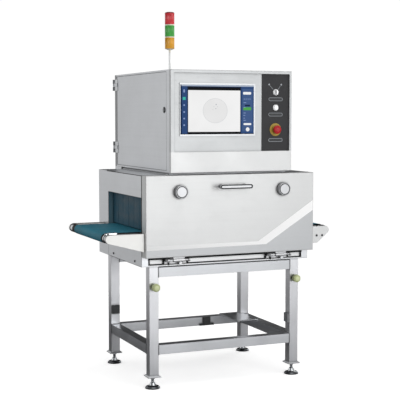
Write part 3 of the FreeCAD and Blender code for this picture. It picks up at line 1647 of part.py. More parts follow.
def tower_frame():
    """Base, pole, collar, rings and cap of the signal tower."""
    x, y = s.tower_x, s.tower_y
    base_high = s.tower_base / 2
    collar_low = tower_low - s.tier_ring
    base = rod("tower_foot", s.tower_base, "+z", (x, y, console_top), base_high)
    pole = rod("tower_rod", s.tower_pole, "+z", (x, y, console_top), collar_low - console_top)
    collar = cone("tower_collar", s.tower_pole * 2, s.tower_radius, "+z", (x, y, collar_low), s.tier_ring)
    pieces = [fuse("tower_stem", base, pole, collar)]
    for number in (1, 2):
        low = tower_low + s.tier_high * number + s.tier_ring * (number - 1)
        pieces.append(rod("tower_ring", s.tower_radius - s.tier_ring / 4, "+z", (x, y, low), s.tier_ring))
    cap_low = tower_low + s.tier_high * 3 + s.tier_ring * 2
    profile = [
        (0, 0),
        (s.tower_radius, 0),
        (s.tower_radius, s.tower_cap / 2),
        (s.tower_radius * 2 / 3, s.tower_cap),
        (0, s.tower_cap),
    ]
    pieces.append(turned("tower_top", profile, (x, y, cap_low), "+z"))
    keep("tower_frame", group("tower", pieces))


def tower_tier(name, number):
    """One coloured lamp of the tower."""
    low = tower_low + (s.tier_high + s.tier_ring) * number
    keep(name, rod(name + "_lamp", s.tower_radius, "+z", (s.tower_x, s.tower_y, low), s.tier_high))


def build():
    """Make every sub-part."""
    stand_legs()
    stand_rails()
    leg_flanges()
    levelling_feet()
    foot_locknuts()
    hand_knob("left")
    hand_knob("right")
    cable_saddles()
    cabinet_shell()
    end_panels()
    end_fillers()
    panel_screws()
    front_sill()
    tunnel_hood()
    curtain_rods()
    curtain("curtain_infeed", -curtain_x)
    curtain("curtain_outfeed", curtain_x)
    conveyor_supports()
    conveyor_rails()
    slider_bed()
    detector_bar()
    conveyor_belt()
    roller("idler_roller", infeed_axle)
    roller("drive_roller", outfeed_axle)
    conveyor_cheeks()
    door_pan()
    door_lining()
    latch_knob("latch_knob_left", -s.latch_x, 1)
    latch_knob("latch_knob_right", s.latch_x, -1)
    door_handle()
    door_hinge_leaves()
    hinge_brackets()
    console_shell()
    console_door()
    console_hinges()
    console_lock()
    console_fascia()
    touch_panel()
    screen_glass()
    control_plate()
    label_plates()
    button_bezels()
    selector_knob()
    push_button()
    stop_collar()
    stop_mushroom()
    rear_housing()
    rear_cover()
    cable_gland()
    xray_generator()
    component_plate()
    tower_frame()
    tower_tier("tower_amber", 0)
    tower_tier("tower_green", 1)
    tower_tier("tower_red", 2)


def check():
    """Stop on a failed object or a broken shape."""
    failed = [item.Name for item in doc.Objects if {"Invalid", "Error"} & set(item.State)]
    if failed:
        raise RuntimeError("failed objects: " + ", ".join(failed))
    for name, piece in parts.items():
        if piece.Shape.isNull() or not piece.Shape.isValid():
            raise RuntimeError("broken shape: " + name)


build()
doc.recompute()
check()
os.makedirs("parts", exist_ok=True)
for name, piece in parts.items():
    piece.Shape.exportStep(f"parts/{name}.step")
print(len(parts), "sub-parts")
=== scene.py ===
import math

import bmesh
import bpy
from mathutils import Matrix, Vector


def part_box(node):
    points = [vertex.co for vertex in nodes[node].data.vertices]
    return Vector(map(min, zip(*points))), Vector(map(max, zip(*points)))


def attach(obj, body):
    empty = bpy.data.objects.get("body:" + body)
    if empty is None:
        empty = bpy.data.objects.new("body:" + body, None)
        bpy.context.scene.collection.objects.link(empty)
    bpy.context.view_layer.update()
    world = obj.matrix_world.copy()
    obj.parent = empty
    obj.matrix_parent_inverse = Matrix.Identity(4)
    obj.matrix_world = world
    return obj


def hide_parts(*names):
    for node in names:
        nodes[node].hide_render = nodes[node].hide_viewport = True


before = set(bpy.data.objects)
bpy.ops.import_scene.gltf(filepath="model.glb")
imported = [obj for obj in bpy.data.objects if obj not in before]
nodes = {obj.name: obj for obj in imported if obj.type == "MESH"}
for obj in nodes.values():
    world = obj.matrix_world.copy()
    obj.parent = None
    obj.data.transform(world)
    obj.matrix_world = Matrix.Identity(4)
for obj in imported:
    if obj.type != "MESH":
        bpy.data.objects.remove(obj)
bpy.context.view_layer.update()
scene = bpy.context.scene

# Places, as millimetres from the cabinet's middle, the door's face and the floor

MM = 0.001
cabinet_low, cabinet_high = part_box("end_panels")
middle_x = (cabinet_low.x + cabinet_high.x) / 2
face_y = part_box("door_pan")[0].y


def at(x, y, z):
    """A point of the machine in the frame's metres."""
    return Vector((middle_x + x * MM, face_y + y * MM, z * MM))


def limits(node):
    """A node's lowest and highest corners in the machine's millimetres."""
    return [Vector(((p.x - middle_x) / MM, (p.y - face_y) / MM, p.z / MM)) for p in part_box(node)]


def add_object(name, data):
    """A new object in the scene."""
    made = bpy.data.objects.new(name, data)
    scene.collection.objects.link(made)
    return made


def aim(thing, way):
    """Points a camera or a light along a direction."""
    thing.rotation_mode = "QUATERNION"
    thing.rotation_quaternion = way.to_track_quat("-Z", "Y")


# Camera

CAMERA_PLACE = (-2073.2, -4470.7, 1265.4)
CAMERA_TURN = math.radians(23.1204)
CAMERA_TILT = math.radians(-4.5044)
FOCAL_LENGTH = 95.27
SENSOR_WIDTH = 36


def make_camera():
    """The photograph's viewpoint."""
    data = bpy.data.cameras.new("camera")
    data.lens = FOCAL_LENGTH
    data.sensor_width = SENSOR_WIDTH
    data.clip_end = 50
    camera = add_object("camera", data)
    camera.location = at(*CAMERA_PLACE)
    level = math.cos(CAMERA_TILT)
    aim(camera, Vector((math.sin(CAMERA_TURN) * level, math.cos(CAMERA_TURN) * level, math.sin(CAMERA_TILT))))
    scene.camera = camera


make_camera()

# Materials

PEBBLE_GRAIN = 1400
# Reach of the painted shade in creases, and the colour it darkens towards
SHADE_REACH = 0.012
SHADE_COLOUR = (0.012, 0.013, 0.014, 1)
WHITE = (1, 1, 1, 1)


def tone(code):
    """A linear colour from a screen colour such as 2F6B7B."""
    parts = [int(code[i:i + 2], 16) / 255 for i in (0, 2, 4)]
    return tuple(c / 12.92 if c <= 0.04045 else ((c + 0.055) / 1.055) ** 2.4 for c in parts)


class Steps:
    """The node steps that the materials and the surroundings share."""

    def __init__(self, tree):
        self.tree = tree

    def node(self, kind, inputs=(), out=0, **settings):
        """One output of a new shader node with its settings, values and links."""
        made = self.tree.nodes.new("ShaderNode" + kind)
        for name, value in settings.items():
            setattr(made, name, value)
        for socket, value in dict(inputs).items():
            if isinstance(value, bpy.types.NodeSocket):
                self.tree.links.new(value, made.inputs[socket])
            else:
                made.inputs[socket].default_value = value
        return made.outputs[out]

    def span(self, value, low, high, to_low=0, to_high=1, **settings):
        """One range of values taken to another."""
        ends = {"Value": value, "From Min": low, "From Max": high, "To Min": to_low, "To Max": to_high}
        return self.node("MapRange", ends, **settings)

    def add(self, first, second, how="ADD"):
        """Two values added, or joined in the way that is named."""
        return self.node("Math", {0: first, 1: second}, operation=how)

    def times(self, first, second):
        """Two values multiplied."""
        return self.add(first, second, "MULTIPLY")

    def blend(self, factor, first, second):
        """Two shaders blended."""
        return self.node("MixShader", {0: factor, 1: first, 2: second})


class Look(Steps):
    """A material with one shader; its colour is linear or a screen colour's code."""

    def __init__(self, name, colour, roughness, **values):
        self.material = bpy.data.materials.new(name)
        self.material.use_nodes = True
        super().__init__(self.material.node_tree)
        self.shader = self.tree.nodes["Principled BSDF"]
        self.colour = tone(colour) if isinstance(colour, str) else colour
        self.shader.inputs["Base Color"].default_value = (*self.colour, 1)
        self.shader.inputs["Roughness"].default_value = roughness
        for title, value in values.items():
            self.shader.inputs[title.replace("_", " ").title().replace("Ior", "IOR")].default_value = value

    def place(self, stretch=(1, 1, 1)):
        """The object's own coordinates, stretched along each axis."""
        return self.node("Mapping", {"Vector": self.node("TexCoord", out="Object"), "Scale": stretch})

    def axis(self, letter):
        """One of the object's own coordinates, in metres."""
        return self.node("SeparateXYZ", {"Vector": self.node("TexCoord", out="Object")}, letter)

    def noise(self, waves, detail=2.0, rough=0.5):
        """Soft noise by its waves per metre, the same all ways or one number for each axis."""
        where = self.place(waves if isinstance(waves, tuple) else (waves, waves, waves))
        return self.node("TexNoise", {"Vector": where, "Scale": 1.0, "Detail": detail, "Roughness": rough})

    def swing(self, noise, low=0, high=1):
        """The noise's usual range taken to two values."""
        return self.span(noise, 0.3, 0.7, low, high)

    def bands(self, way, waves, bent=0.0):
        """Fine even ridges across one axis."""
        return self.node("TexWave", {"Vector": self.place(), "Scale": waves, "Distortion": bent}, "Fac",
                         bands_direction=way)

    def mix(self, factor, first, second):
        """Two colours blended, each from a node or a screen colour's code."""
        first, second = [(*tone(c), 1) if isinstance(c, str) else c for c in (first, second)]
        return self.node("Mix", {0: factor, 6: first, 7: second}, 2, data_type="RGBA")

    def shades(self, factor, dark, light):
        """The colour itself, from darker to lighter by the factor."""
        low = tuple(c * dark for c in self.colour)
        high = tuple(min(1.0, c * light) for c in self.colour)
        return self.mix(factor, (*low, 1), (*high, 1))

    def paint(self, socket, value):
        """Gives the shader's socket its value."""
        self.tree.links.new(value, self.shader.inputs[socket])

    def wear_and_edge_shade(self, shade, rim_wide, crease_dark):
        """Paints shade into a colour: darker along outer edges and where pieces meet, from ambient occlusion.
        """
        rim = self.node("AmbientOcclusion", {"Distance": rim_wide}, "AO", inside=True, samples=4)
        crease = self.node("AmbientOcclusion", {"Distance": SHADE_REACH}, "AO", samples=6)
        light = self.times(self.span(rim, 0.35, 0.95, 0.45), self.span(crease, 0.25, 0.95, crease_dark))
        return self.mix(light, SHADE_COLOUR, shade)

    def relief(self, height, deep):
        """Bump of one height map, its depth in metres."""
        self.paint("Normal", self.node("Bump", {"Height": height, "Distance": deep, "Strength": 1.0}))

    def finish(self, colour, roughness, height, deep):
        """The material, painted and with its relief."""
        self.paint("Base Color", colour)
        self.paint("Roughness", roughness)
        self.relief(height, deep)
        return self.material


def metal(name, colour, roughness, grain, metallic=1.0, patchy=0.045, rim=0.0018, crease=0.3, below=None):
    """Brushed or blasted metal with soft patches, faint marks and painted shade along its edges and creases.

    below is a height and the colour under it.
    """
    look = Look(name, colour, roughness, Metallic=metallic)
    fine = look.noise(grain, 3.0, 0.6)
    streaks = look.noise(tuple(g / 12 for g in grain), 3.0, 0.55)
    clouds = look.noise(5.5, 3.0)
    marks = look.noise(38, 4.0, 0.65)
    shade = look.add(look.times(streaks, 0.3), look.times(clouds, 0.7))
    shade = look.shades(look.span(shade, 0.35, 0.65), 1 - patchy, 1 + patchy)
    if below:
        edge, lower = below
        shade = look.mix(look.span(look.axis("Z"), edge, edge + MM, 1, 0), shade, lower)
    dull = look.add(look.swing(fine, -0.03, 0.03), look.span(marks, 0.5, 0.75, 0, 0.05))
    dull = look.add(look.add(dull, look.swing(clouds, -0.03, 0.04)), roughness)
    # The base colour carries painted shade along the edges and creases
    return look.finish(look.wear_and_edge_shade(shade, rim, crease), dull, fine, 0.000004)


def plastic(name, colour, roughness, grain=PEBBLE_GRAIN, patchy=0.08, deep=0.00004, **values):
    """Moulded or painted surfaces: a fine pebbled skin, faint dust and uneven gloss."""
    look = Look(name, colour, roughness, **values)
    clouds = look.noise(14, 4.0, 0.6)
    shade = look.shades(look.swing(clouds), 1 - patchy, 1 + patchy)
    return look.finish(shade, look.swing(clouds, roughness - 0.05, roughness + 0.08), look.noise(grain), deep)


def belt_look():
    """Coated conveyor belt: a fine cross weave under a scuffed teal skin, with painted shade darkening its
    edges and its underside.
    """
    look = Look("belt_weave", "257488", 0.6, Specular_IOR_Level=0.2)
    weave = look.times(look.bands("X", 260.0, 0.4), look.bands("Y", 260.0, 0.4))
    scuffs = look.noise((1.5, 60, 60), 4.0, 0.6)
    wear_and_edge_shade = look.noise((3, 9, 3), 3.0)
    shade = look.add(look.span(scuffs, 0.35, 0.7, 0, 0.55), look.span(wear_and_edge_shade, 0.35, 0.65, 0, 0.45))
    shade = look.add(shade, look.span(weave, 0, 1, -0.15, 0.15))
    low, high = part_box("conveyor_belt")
    across = look.axis("Y")
    # Painted shade: near black along both edges and on the underside
    shaded_edges = look.add(look.span(across, low.y + 0.002, low.y + 0.004, 1, 0),
                    look.span(across, high.y - 0.004, high.y - 0.002))
    under = look.span(look.axis("Z"), low.z + 0.005, low.z + 0.0065, 1, 0)
    shade = look.mix(look.add(shaded_edges, under, "MAXIMUM"), look.shades(shade, 0.82, 1.22), "0E1719")
    return look.finish(shade, look.swing(scuffs, 0.5, 0.68), weave, 0.00012)


def rubber_look():
    """Lead rubber: dull, dark blue-green, with faint press marks and rubbed dust."""
    look = Look("lead_rubber_sheet", "1F4A5B", 0.55, Specular_IOR_Level=0.2)
    dust = look.noise((9, 9, 26), 5.0, 0.65)
    low = look.span(look.axis("Z"), 0.74, 0.80, 0.35, 0)
    shade = look.shades(look.add(look.span(dust, 0.35, 0.7), low), 0.86, 1.25)
    return look.finish(shade, look.swing(dust, 0.42, 0.62), look.noise(900, 3.0, 0.6), 0.00008)


def tunnel_look():
    """The tunnel's lining: dark teal as painted reflection of the curtains and painted shade, lighter at both
    mouths as painted light from outside.
    """
    look = Look("tunnel_shade_and_reflection", "1E3E49", 0.45, Specular_IOR_Level=0.3)
    along = look.axis("X")
    low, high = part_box("tunnel_hood")
    # Painted light: the lining turns lighter towards both mouths
    mouths = look.add(look.span(along, low.x + 0.015, low.x + 0.06, 1, 0),
                      look.span(along, high.x - 0.06, high.x - 0.015))
    clouds = look.swing(look.noise(14, 4.0, 0.6))
    shade = look.mix(mouths, look.shades(clouds, 0.92, 1.08), "7396A3")
    return look.finish(shade, look.add(look.times(clouds, 0.1), 0.4), look.noise(PEBBLE_GRAIN), 0.00004)


# Heights in metres over which a foot's sole ends, its hub starts and its thread starts
SOLE_TOP = (0.0035, 0.0042)
HUB_LOW = (0.0125, 0.0135)
THREAD_LOW = (0.031, 0.033)


def foot_look():
    """A levelling foot: rubber sole, dark cast pad, and a plated hub and stud with its thread."""
    look = Look("foot_finish", "B9BCBF", 0.25)
    height = look.axis("Z")
    plated = look.span(height, *SOLE_TOP)
    cast = look.noise(700, 3.0, 0.6)
    sole = look.mix(cast, "1B1C1E", "2C2E30")
    pad = look.mix(cast, "5E6164", "777A7D")
    hub = look.mix(cast, "A4A8AB", "C6C9CB")
    look.paint("Metallic", plated)
    shade = look.mix(plated, sole, look.mix(look.span(height, *HUB_LOW), pad, hub))
    thread = look.times(look.bands("Z", 220.0), look.span(height, *THREAD_LOW))
    rise = look.add(thread, look.times(cast, 0.1))
    return look.finish(shade, look.span(plated, 0, 1, 0.6, 0.22), rise, 0.0006)


def saddle_look():
    """The cable saddles: black, but grey for the one on the right front leg."""
    look = Look("saddle_moulding", "26282A", 0.45)
    dust = look.noise(60, 3.0, 0.6)
    black = look.mix(dust, "232527", "303234")
    lighter_grey = look.mix(dust, "6E7073", "7E8083")
    shade = look.mix(look.span(look.axis("X"), 0.3, 0.31), black, lighter_grey)
    return look.finish(shade, look.swing(dust, 0.4, 0.55), look.noise(PEBBLE_GRAIN), 0.00004)


# Heights in metres over which the signal tower's pole ends and its cap starts
POLE_TOP = (1.5795, 1.5805)
CAP_LOW = (1.7665, 1.7672)


def tower_look():
    """The signal tower's frame: a bright pole below, cream rings and a red cap above."""
    look = Look("tower_finish", "E9E4D2", 0.35)
    height = look.axis("Z")
    above = look.span(height, *POLE_TOP)
    grain = look.noise((60, 60, 900), 3.0, 0.6)
    pole = look.mix(grain, "DADCDC", "EEEFEE")
    rings = look.mix(grain, "DDD7C0", "EFEBDD")
    look.paint("Metallic", look.span(above, 0, 1, 0.3, 0))
    shade = look.mix(above, pole, look.mix(look.span(height, *CAP_LOW), rings, "7E1A1F"))
    return look.finish(shade, look.swing(grain, 0.24, 0.36), grain, 0.00003)


def stripe_look():
    """The door stripe's film: satin white, greyer towards its infeed end."""
    look = Look("film_white", "FAFAFA", 0.36)
    clouds = look.noise(14, 4.0, 0.6)
    bright = look.add(look.span(look.axis("X"), -0.5, 0.45), look.swing(clouds, -0.04, 0.04))
    shade = look.mix(bright, "DCDDDD", "FAFAFA")
    return look.finish(shade, look.swing(clouds, 0.32, 0.42), look.noise(PEBBLE_GRAIN), 0.00003)


def lens_look(name, colour):
    """A signal lamp's coloured lens: glossy coloured plastic with a clear coat."""
    look = Look(name, colour, 0.22, Coat_Weight=0.5, Coat_Roughness=0.08)
    clouds = look.noise((40, 40, 24), 3.0)
    shade = look.shades(look.swing(clouds), 0.8, 1.15)
    return look.finish(shade, look.swing(clouds, 0.16, 0.3), look.noise(900), 0.00002)


def lit_look(name, colour):
    """A lit area of the display, slightly uneven like a panel's backlight."""
    look = Look(name, colour, 0.5, Specular_IOR_Level=0.04, Emission_Strength=0.95)
    look.shader.inputs["Base Color"].default_value = (0.004, 0.004, 0.0045, 1)
    dots = look.noise(1100, 1.0)
    uneven = look.add(look.noise(7), look.times(dots, 0.2))
    look.paint("Emission Color", look.shades(look.span(uneven, 0.4, 0.8), 0.95, 1.02))
    look.relief(dots, 0.00001)
    return look.material


LEVEL = (9, 9, 900)
UPRIGHT = (900, 900, 7)
EVEN = (300, 300, 300)
COARSE = (500, 500, 500)
FASCIA_LOW = 1.103

stainless_level = metal("stainless_level", "C9CBCE", 0.34, LEVEL)
stainless_dark = metal("stainless_dark", "77797C", 0.3, LEVEL, patchy=0.08, rim=0.0025)
chrome = metal("polished_chrome", "D6D8DA", 0.14, EVEN, patchy=0.03)
weld_tint = metal("weld_tint", "8E8F91", 0.42, COARSE, patchy=0.15)
film_white = stripe_look()
film_grey = metal("film_grey", "B4B6B8", 0.4, LEVEL, metallic=0.45, patchy=0.03, rim=0.00002)
# A darker grey used as painted shade on the console's side
flange_shade_grey = metal("flange_shade_grey", "8D8E90", 0.36, UPRIGHT, rim=0.00002)
plate_grey = metal("plate_grey", "D2D4D6", 0.36, UPRIGHT, rim=0.0002, crease=0.9)
knob_cap = plastic("knob_cap_green", "CED6A6", 0.35)
# Black for rubber parts, and for strips that stand in for shadow
black_rubber_and_shade = plastic("rubber_and_shade_black", "141517", 0.6, Specular_IOR_Level=0.2)
belt_weave = belt_look()
lead_sheet = rubber_look()
LENSES = {colour: lens_look("lens_" + colour, code)
          for colour, code in (("red", "D42430"), ("green", "38A83A"), ("amber", "E0A010"))}
SCREEN = {colour: lit_look("screen_" + colour, code) for colour, code in (
    ("navy", "2B4878"), ("dim", "020308"), ("blue", "415B88"), ("white", "F6F6F6"), ("faint", "ECECEC"),
    ("grey", "A7ABB0"), ("soft", "D2D5D7"), ("pale", "8FA3CE"), ("deep", "142848"), ("sky", "A9B5C8"),
    ("teal", "3DB7A8"), ("green", "4FA64E"),
)}

# Each look with the CAD nodes that have it
FINISHES = (
    (metal("stainless_upright", "CBCCCF", 0.34, UPRIGHT), "stand_legs"),
    (stainless_level, "stand_rails_lower", "leg_flanges", "cabinet_shell", "end_panels", "end_fillers",
     "conveyor_supports", "conveyor_rails", "slider_bed", "door_lining", "console_shell", "console_door",
     "rear_housing", "rear_cover"),
    (metal("stainless_front", "C7C8C8", 0.42, LEVEL, metallic=0.5, patchy=0.025), "door_pan"),
    (metal("stainless_fascia", "B4B6B7", 0.42, LEVEL, metallic=0.5, patchy=0.025, crease=0.7,
           below=(FASCIA_LOW, "C6C7C7")), "console_fascia"),
    (metal("stainless_cheek", "CCCDCD", 0.4, LEVEL, metallic=0.5, patchy=0.03, crease=0.75),
     "outfeed_cheeks"),
    (plastic("white_panel_sheet", "F6F6F3", 0.38, patchy=0.02), "infeed_cheeks"),
    (metal("stainless_rail", "B9BBBE", 0.34, LEVEL), "stand_rails_upper"),
    # Painted light: the sill gets a brighter copy of the stainless, lifting it out of the shade under the
    # door
    (metal("stainless_sill", "E0E1E2", 0.4, LEVEL, metallic=0.5, patchy=0.03), "front_sill"),
    (metal("stainless_hinge", "CFD0D2", 0.32, LEVEL, metallic=0.7, rim=0.0035), "hinge_brackets",
     "door_hinge_leaves"),
    (metal("screw_dark", "2E2F31", 0.4, EVEN, patchy=0.1), "panel_screws"),
    (stainless_dark, "console_hinges", "console_lock"),
    (metal("bright_bezel", "EDEEEF", 0.36, EVEN, metallic=0.25, patchy=0.02, rim=0.0004, crease=0.7),
     "button_bezels", "push_button", "selector_knob"),
    (metal("stainless_bezel", "CACCCE", 0.42, LEVEL, metallic=0.5, rim=0.0002, crease=0.95), "touch_panel"),
    (metal("satin_knob", "A6A7A9", 0.34, EVEN, patchy=0.03, rim=0.0016),
     "latch_knob_left", "latch_knob_right", "door_handle"),
    (chrome, "foot_locknuts", "curtain_rods", "idler_roller", "drive_roller"),
    (tunnel_look(), "tunnel_hood"),
    (foot_look(),
     *(f"levelling_foot_{end}_{side}" for end in ("front", "rear") for side in ("left", "right"))),
    (plastic("knob_pale_green", "BBC491", 0.4), "hand_knob_left", "hand_knob_right"),
    (saddle_look(), "cable_saddles"),
    (plastic("black_moulding", "26282A", 0.45), "cable_gland"),
    (plastic("charcoal_plate", "333335", 0.55, patchy=0.05, Specular_IOR_Level=0.25), "control_plate"),
    (plastic("label_film", "3C3D3F", 0.5, Specular_IOR_Level=0.25), "label_plates"),
    (plastic("powder_coat", "8B9094", 0.55, grain=700, deep=0.0001), "detector_bar", "xray_generator",
     "component_plate"),
    (plastic("dark_glass_sheet", "07080B", 0.28, patchy=0.04, deep=0.000005, Specular_IOR_Level=0.15),
     "screen_glass"),
    (plastic("collar_yellow", "A98F3C", 0.45, Specular_IOR_Level=0.3), "stop_collar"),
    (plastic("mushroom_red", "B01822", 0.35, Specular_IOR_Level=0.3), "stop_mushroom"),
    (belt_weave, "conveyor_belt"),
    (lead_sheet, "curtain_infeed", "curtain_outfeed"),
    (tower_look(), "tower_frame"),
    *((look, "tower_" + colour) for colour, look in LENSES.items()),
)


def finish_nodes():
    """Gives each CAD node its material."""
    for look, *names in FINISHES:
        for name in names:
            for place in nodes[name].material_slots:
                place.material = look


finish_nodes()

# Mesh pieces; a turn function takes (across, up, deep) to a point, and at is the turn of level outlines


def mesh_object(name, mesh, look):
    """An object from a bmesh with one material."""
    data = bpy.data.meshes.new(name)
    mesh.to_mesh(data)
    mesh.free()
    data.materials.append(look)
    return add_object(name, data)


def piece(name, mesh, look, body="machine", smooth=0.6):
    """An object from a bmesh; it takes its finish from a slot and rides on a body."""
    bmesh.ops.recalc_face_normals(mesh, faces=mesh.faces)
    made = mesh_object(name, mesh, look)
    made.data.shade_smooth()
    made.data.set_sharp_from_angle(angle=smooth)
    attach(made, body)
    return made


def frontal(x, z, y):
    """Outlines that face the front: across is X, up is Z and depth is Y."""
    return at(x, y, z)


def sideways(y, z, x):
    """Outlines that face an end: across is Y, up is Z and depth is X."""
    return at(x, y, z)


def about(centre, way):
    """The turn function of a form turned about an axis along X, Y or Z through a centre."""
    x, y, z = centre

    def turn(across, up, deep):
        return {"x": at(x + deep, y + across, z + up), "y": at(x + across, y + deep, z + up),
                "z": at(x + across, y + up, z + deep)}[way]

    return turn


def band(mesh, first, second):
    """Faces between two rings with as many points each."""
    for i in range(len(first)):
        following = (i + 1) % len(first)
        mesh.faces.new((first[i], first[following], second[following], second[i]))


def prism(mesh, outline, start, deep, turn):
    """A flat outline pushed to a depth."""
    near, far = [[mesh.verts.new(turn(across, up, depth)) for across, up in outline]
                 for depth in (start, start + deep)]
    mesh.faces.new(near)
    mesh.faces.new(list(reversed(far)))
    band(mesh, near, far)


def bevel_all(mesh, wide):
    """Rounds the sharp edges."""
    sharp = [e for e in mesh.edges if len(e.link_faces) == 2 and e.calc_face_angle(0) > math.radians(40)]
    bmesh.ops.bevel(mesh, geom=sharp, offset=wide * MM, segments=2, profile=0.6, affect="EDGES")


def slabs(name, outlines, start, deep, look, body="machine", turn=frontal, ease=0):
    """A piece of one or more flat outlines, all pushed to the same depth."""
    mesh = bmesh.new()
    for outline in outlines:
        prism(mesh, outline, start, deep, turn)
    if ease:
        bevel_all(mesh, ease)
    return piece(name, mesh, look, body)


def black_strip(name, mesh, body="machine"):
    """A black piece from a bmesh; some are rubber, some are painted shadow."""
    piece(name, mesh, black_rubber_and_shade, body)


def oblong(left, right, low, high):
    """A rectangle's outline."""
    return [(left, low), (right, low), (right, high), (left, high)]


def rounded(left, right, low, high, radius=1, steps=5):
    """A rectangle with round corners."""
    points = []
    corners = ((right - radius, high - radius, 0), (left + radius, high - radius, 90),
               (left + radius, low + radius, 180), (right - radius, low + radius, 270))
    for x, z, start in corners:
        for step in range(steps + 1):
            angle = math.radians(start + 90 * step / steps)
            points.append((x + radius * math.cos(angle), z + radius * math.sin(angle)))
    return points


def circle(x, z, radius, steps):
    """A round outline."""
    turns = [math.tau * step / steps for step in range(steps)]
    return [(x + radius * math.cos(a), z + radius * math.sin(a)) for a in turns]


def eased(out_low, out_high, low, high, soft):
    """A rectangular outline or section with cut corners."""
    return [(out_low, low + soft), (out_low + soft, low), (out_high - soft, low), (out_high, low + soft),
            (out_high, high - soft), (out_high - soft, high), (out_low + soft, high), (out_low, high - soft)]


def strip(mesh, along_x, along_y, along_z):
    """A straight strip with eased corners, from its reach along each axis."""
    prism(mesh, eased(*along_y, *along_z, 0.4), along_x[0], along_x[1] - along_x[0], sideways)


def frame_strip(mesh, outer, inner, start, deep):
    """A flat frame that faces the front, between two outlines with as many points each."""
    rows = [[mesh.verts.new(frontal(across, up, depth)) for across, up in outline]
            for depth in (start, start + deep) for outline in (outer, inner)]
    for first, second in ((0, 1), (1, 3), (3, 2), (2, 0)):
        band(mesh, rows[first], rows[second])


def lathe(mesh, profile, steps, turn):
    """A turned form; profile is (radius, depth)."""
    rings = []
    for radius, deep in profile:
        ring = circle(0, 0, radius, steps) if radius else [(0, 0)]
        rings.append([mesh.verts.new(turn(across, up, deep)) for across, up in ring])
    for first, second in zip(rings, rings[1:]):
        for i in range(steps):
            following = (i + 1) % steps
            corners = [first[i % len(first)], first[following % len(first)],
                       second[following % len(second)], second[i % len(second)]]
            corners = list(dict.fromkeys(corners))
            if len(corners) > 2:
                mesh.faces.new(corners)


def turned(name, centre, profile, body, look=black_rubber_and_shade, steps=48, way="y"):
    """A turned piece about an axis through a point; profile is (radius, depth)."""
    mesh = bmesh.new()
    lathe(mesh, profile, steps, about(centre, way))
    bmesh.ops.remove_doubles(mesh, verts=mesh.verts, dist=1e-6)
    piece(name, mesh, look, body)


def washer(inner, outer, low, high, soft=0.3):
    """A turned ring's closed profile with eased outer corners."""
    return [(inner, low), (outer - soft, low), (outer, low + soft), (outer, high - soft),
            (outer - soft, high), (inner, high), (inner, low)]


def edging(name, path, section, turn, body="machine"):
    """A black piece with a section (out, deep) along an open flat path; rubber in places, painted shadow in
    others.
    """
    mesh = bmesh.new()
    rows = []
    for i, point in enumerate(path):
        here = Vector(point)
        near = [Vector(other) for other in path[max(0, i - 1):i + 2]]
        ways = [(b - a).normalized() for a, b in zip(near, near[1:])]
        along = sum(ways, Vector((0, 0))).normalized()
        out = Vector((-along.y, along.x)) / max(0.5, along.dot(ways[0]))
        rows.append([mesh.verts.new(turn(here.x + out.x * reach, here.y + out.y * reach, deep))
                     for reach, deep in section])
    for first, second in zip(rows, rows[1:]):
        band(mesh, first, second)
    mesh.faces.new(rows[0])
    mesh.faces.new(rows[-1])
    black_strip(name, mesh, body)


# Door stripe

DOOR_REACH = 427
DOOR_LOW = 626
FILM = 0.25
STRIPE_TOP = [(-DOOR_REACH, 680), (136, 678), (DOOR_REACH, 864)]
STRIPE_LOW = [(-DOOR_REACH, 658), (177, 662), (DOOR_REACH, 816)]


def door_films():
    """The plain white stripe across the door and the greyer field under it."""
    stripe = STRIPE_TOP + list(reversed(STRIPE_LOW))
    slabs("door_stripe", [stripe], -FILM, FILM, film_white, "front_door")
    field = STRIPE_LOW + [(DOOR_REACH, DOOR_LOW), (-DOOR_REACH, DOOR_LOW)]
    slabs("door_field", [field], -FILM / 2, FILM / 2, film_grey, "front_door")


door_films()

# Display

SCREEN_LEFT, SCREEN_RIGHT, SCREEN_LOW, SCREEN_HIGH = -253, 113, 1184, 1411
IMAGE_LEFT, IMAGE_RIGHT, IMAGE_LOW, IMAGE_TOP = -219.5, 43.5, 1195.5, 1386
HEADER_LOW, HEADER_TOP = 1400, 1404
ICON_LEFT, ICON_RIGHT = -242.5, -235.5
PRODUCT_X, PRODUCT_HIGH = -84, 1292.5
SCREEN_LAYER = 0.12
screen_face = limits("screen_glass")[0].y
bezel_face = limits("touch_panel")[0].y


def display_area(name, outlines, colour, layer):
    """Lit areas of the display, each layer a little proud of the last."""
    deep = SCREEN_LAYER * layer
    slabs("display_" + name, outlines, screen_face - deep, deep, SCREEN[colour])


def oval(radius):
    """The product's outline, a little wider than high."""
    return [(PRODUCT_X + x, PRODUCT_HIGH + z * 0.92) for x, z in circle(0, 0, radius, 64)]


def display_frame():
    """The side bars, the top line, the blanks round the picture and the lines between."""
    reach = (SCREEN_LOW + 3, HEADER_TOP)
    bars = [rounded(SCREEN_LEFT, IMAGE_LEFT, *reach), rounded(IMAGE_RIGHT, SCREEN_RIGHT, *reach)]
    display_area("bars", bars, "navy", 1)
    display_area("sky", [rounded(SCREEN_LEFT, SCREEN_RIGHT, HEADER_TOP, SCREEN_HIGH - 0.5)], "sky", 1)
    blanks = [rounded(IMAGE_LEFT, IMAGE_RIGHT, low, high)
              for low, high in ((IMAGE_TOP, HEADER_LOW), (SCREEN_LOW + 0.5, IMAGE_LOW))]
    display_area("header", blanks, "dim", 1)
    slabs("display_border", [rounded(SCREEN_LEFT - 4.7, SCREEN_LEFT + 0.5, SCREEN_LOW, SCREEN_HIGH)],
          bezel_face - 0.25, 0.25, SCREEN["deep"])
    lines = ((SCREEN_LEFT + 0.5, SCREEN_LEFT + 3), (IMAGE_LEFT - 4.5, IMAGE_LEFT),
             (IMAGE_RIGHT, IMAGE_RIGHT + 4))
    edges = [rounded(left, right, *reach) for left, right in lines]
    edges.append(rounded(IMAGE_LEFT, IMAGE_RIGHT, HEADER_LOW, HEADER_TOP))
    display_area("edges", edges, "deep", 2)
    display_area("panel", [rounded(54, 107, 1196, 1394, 2)], "blue", 2)


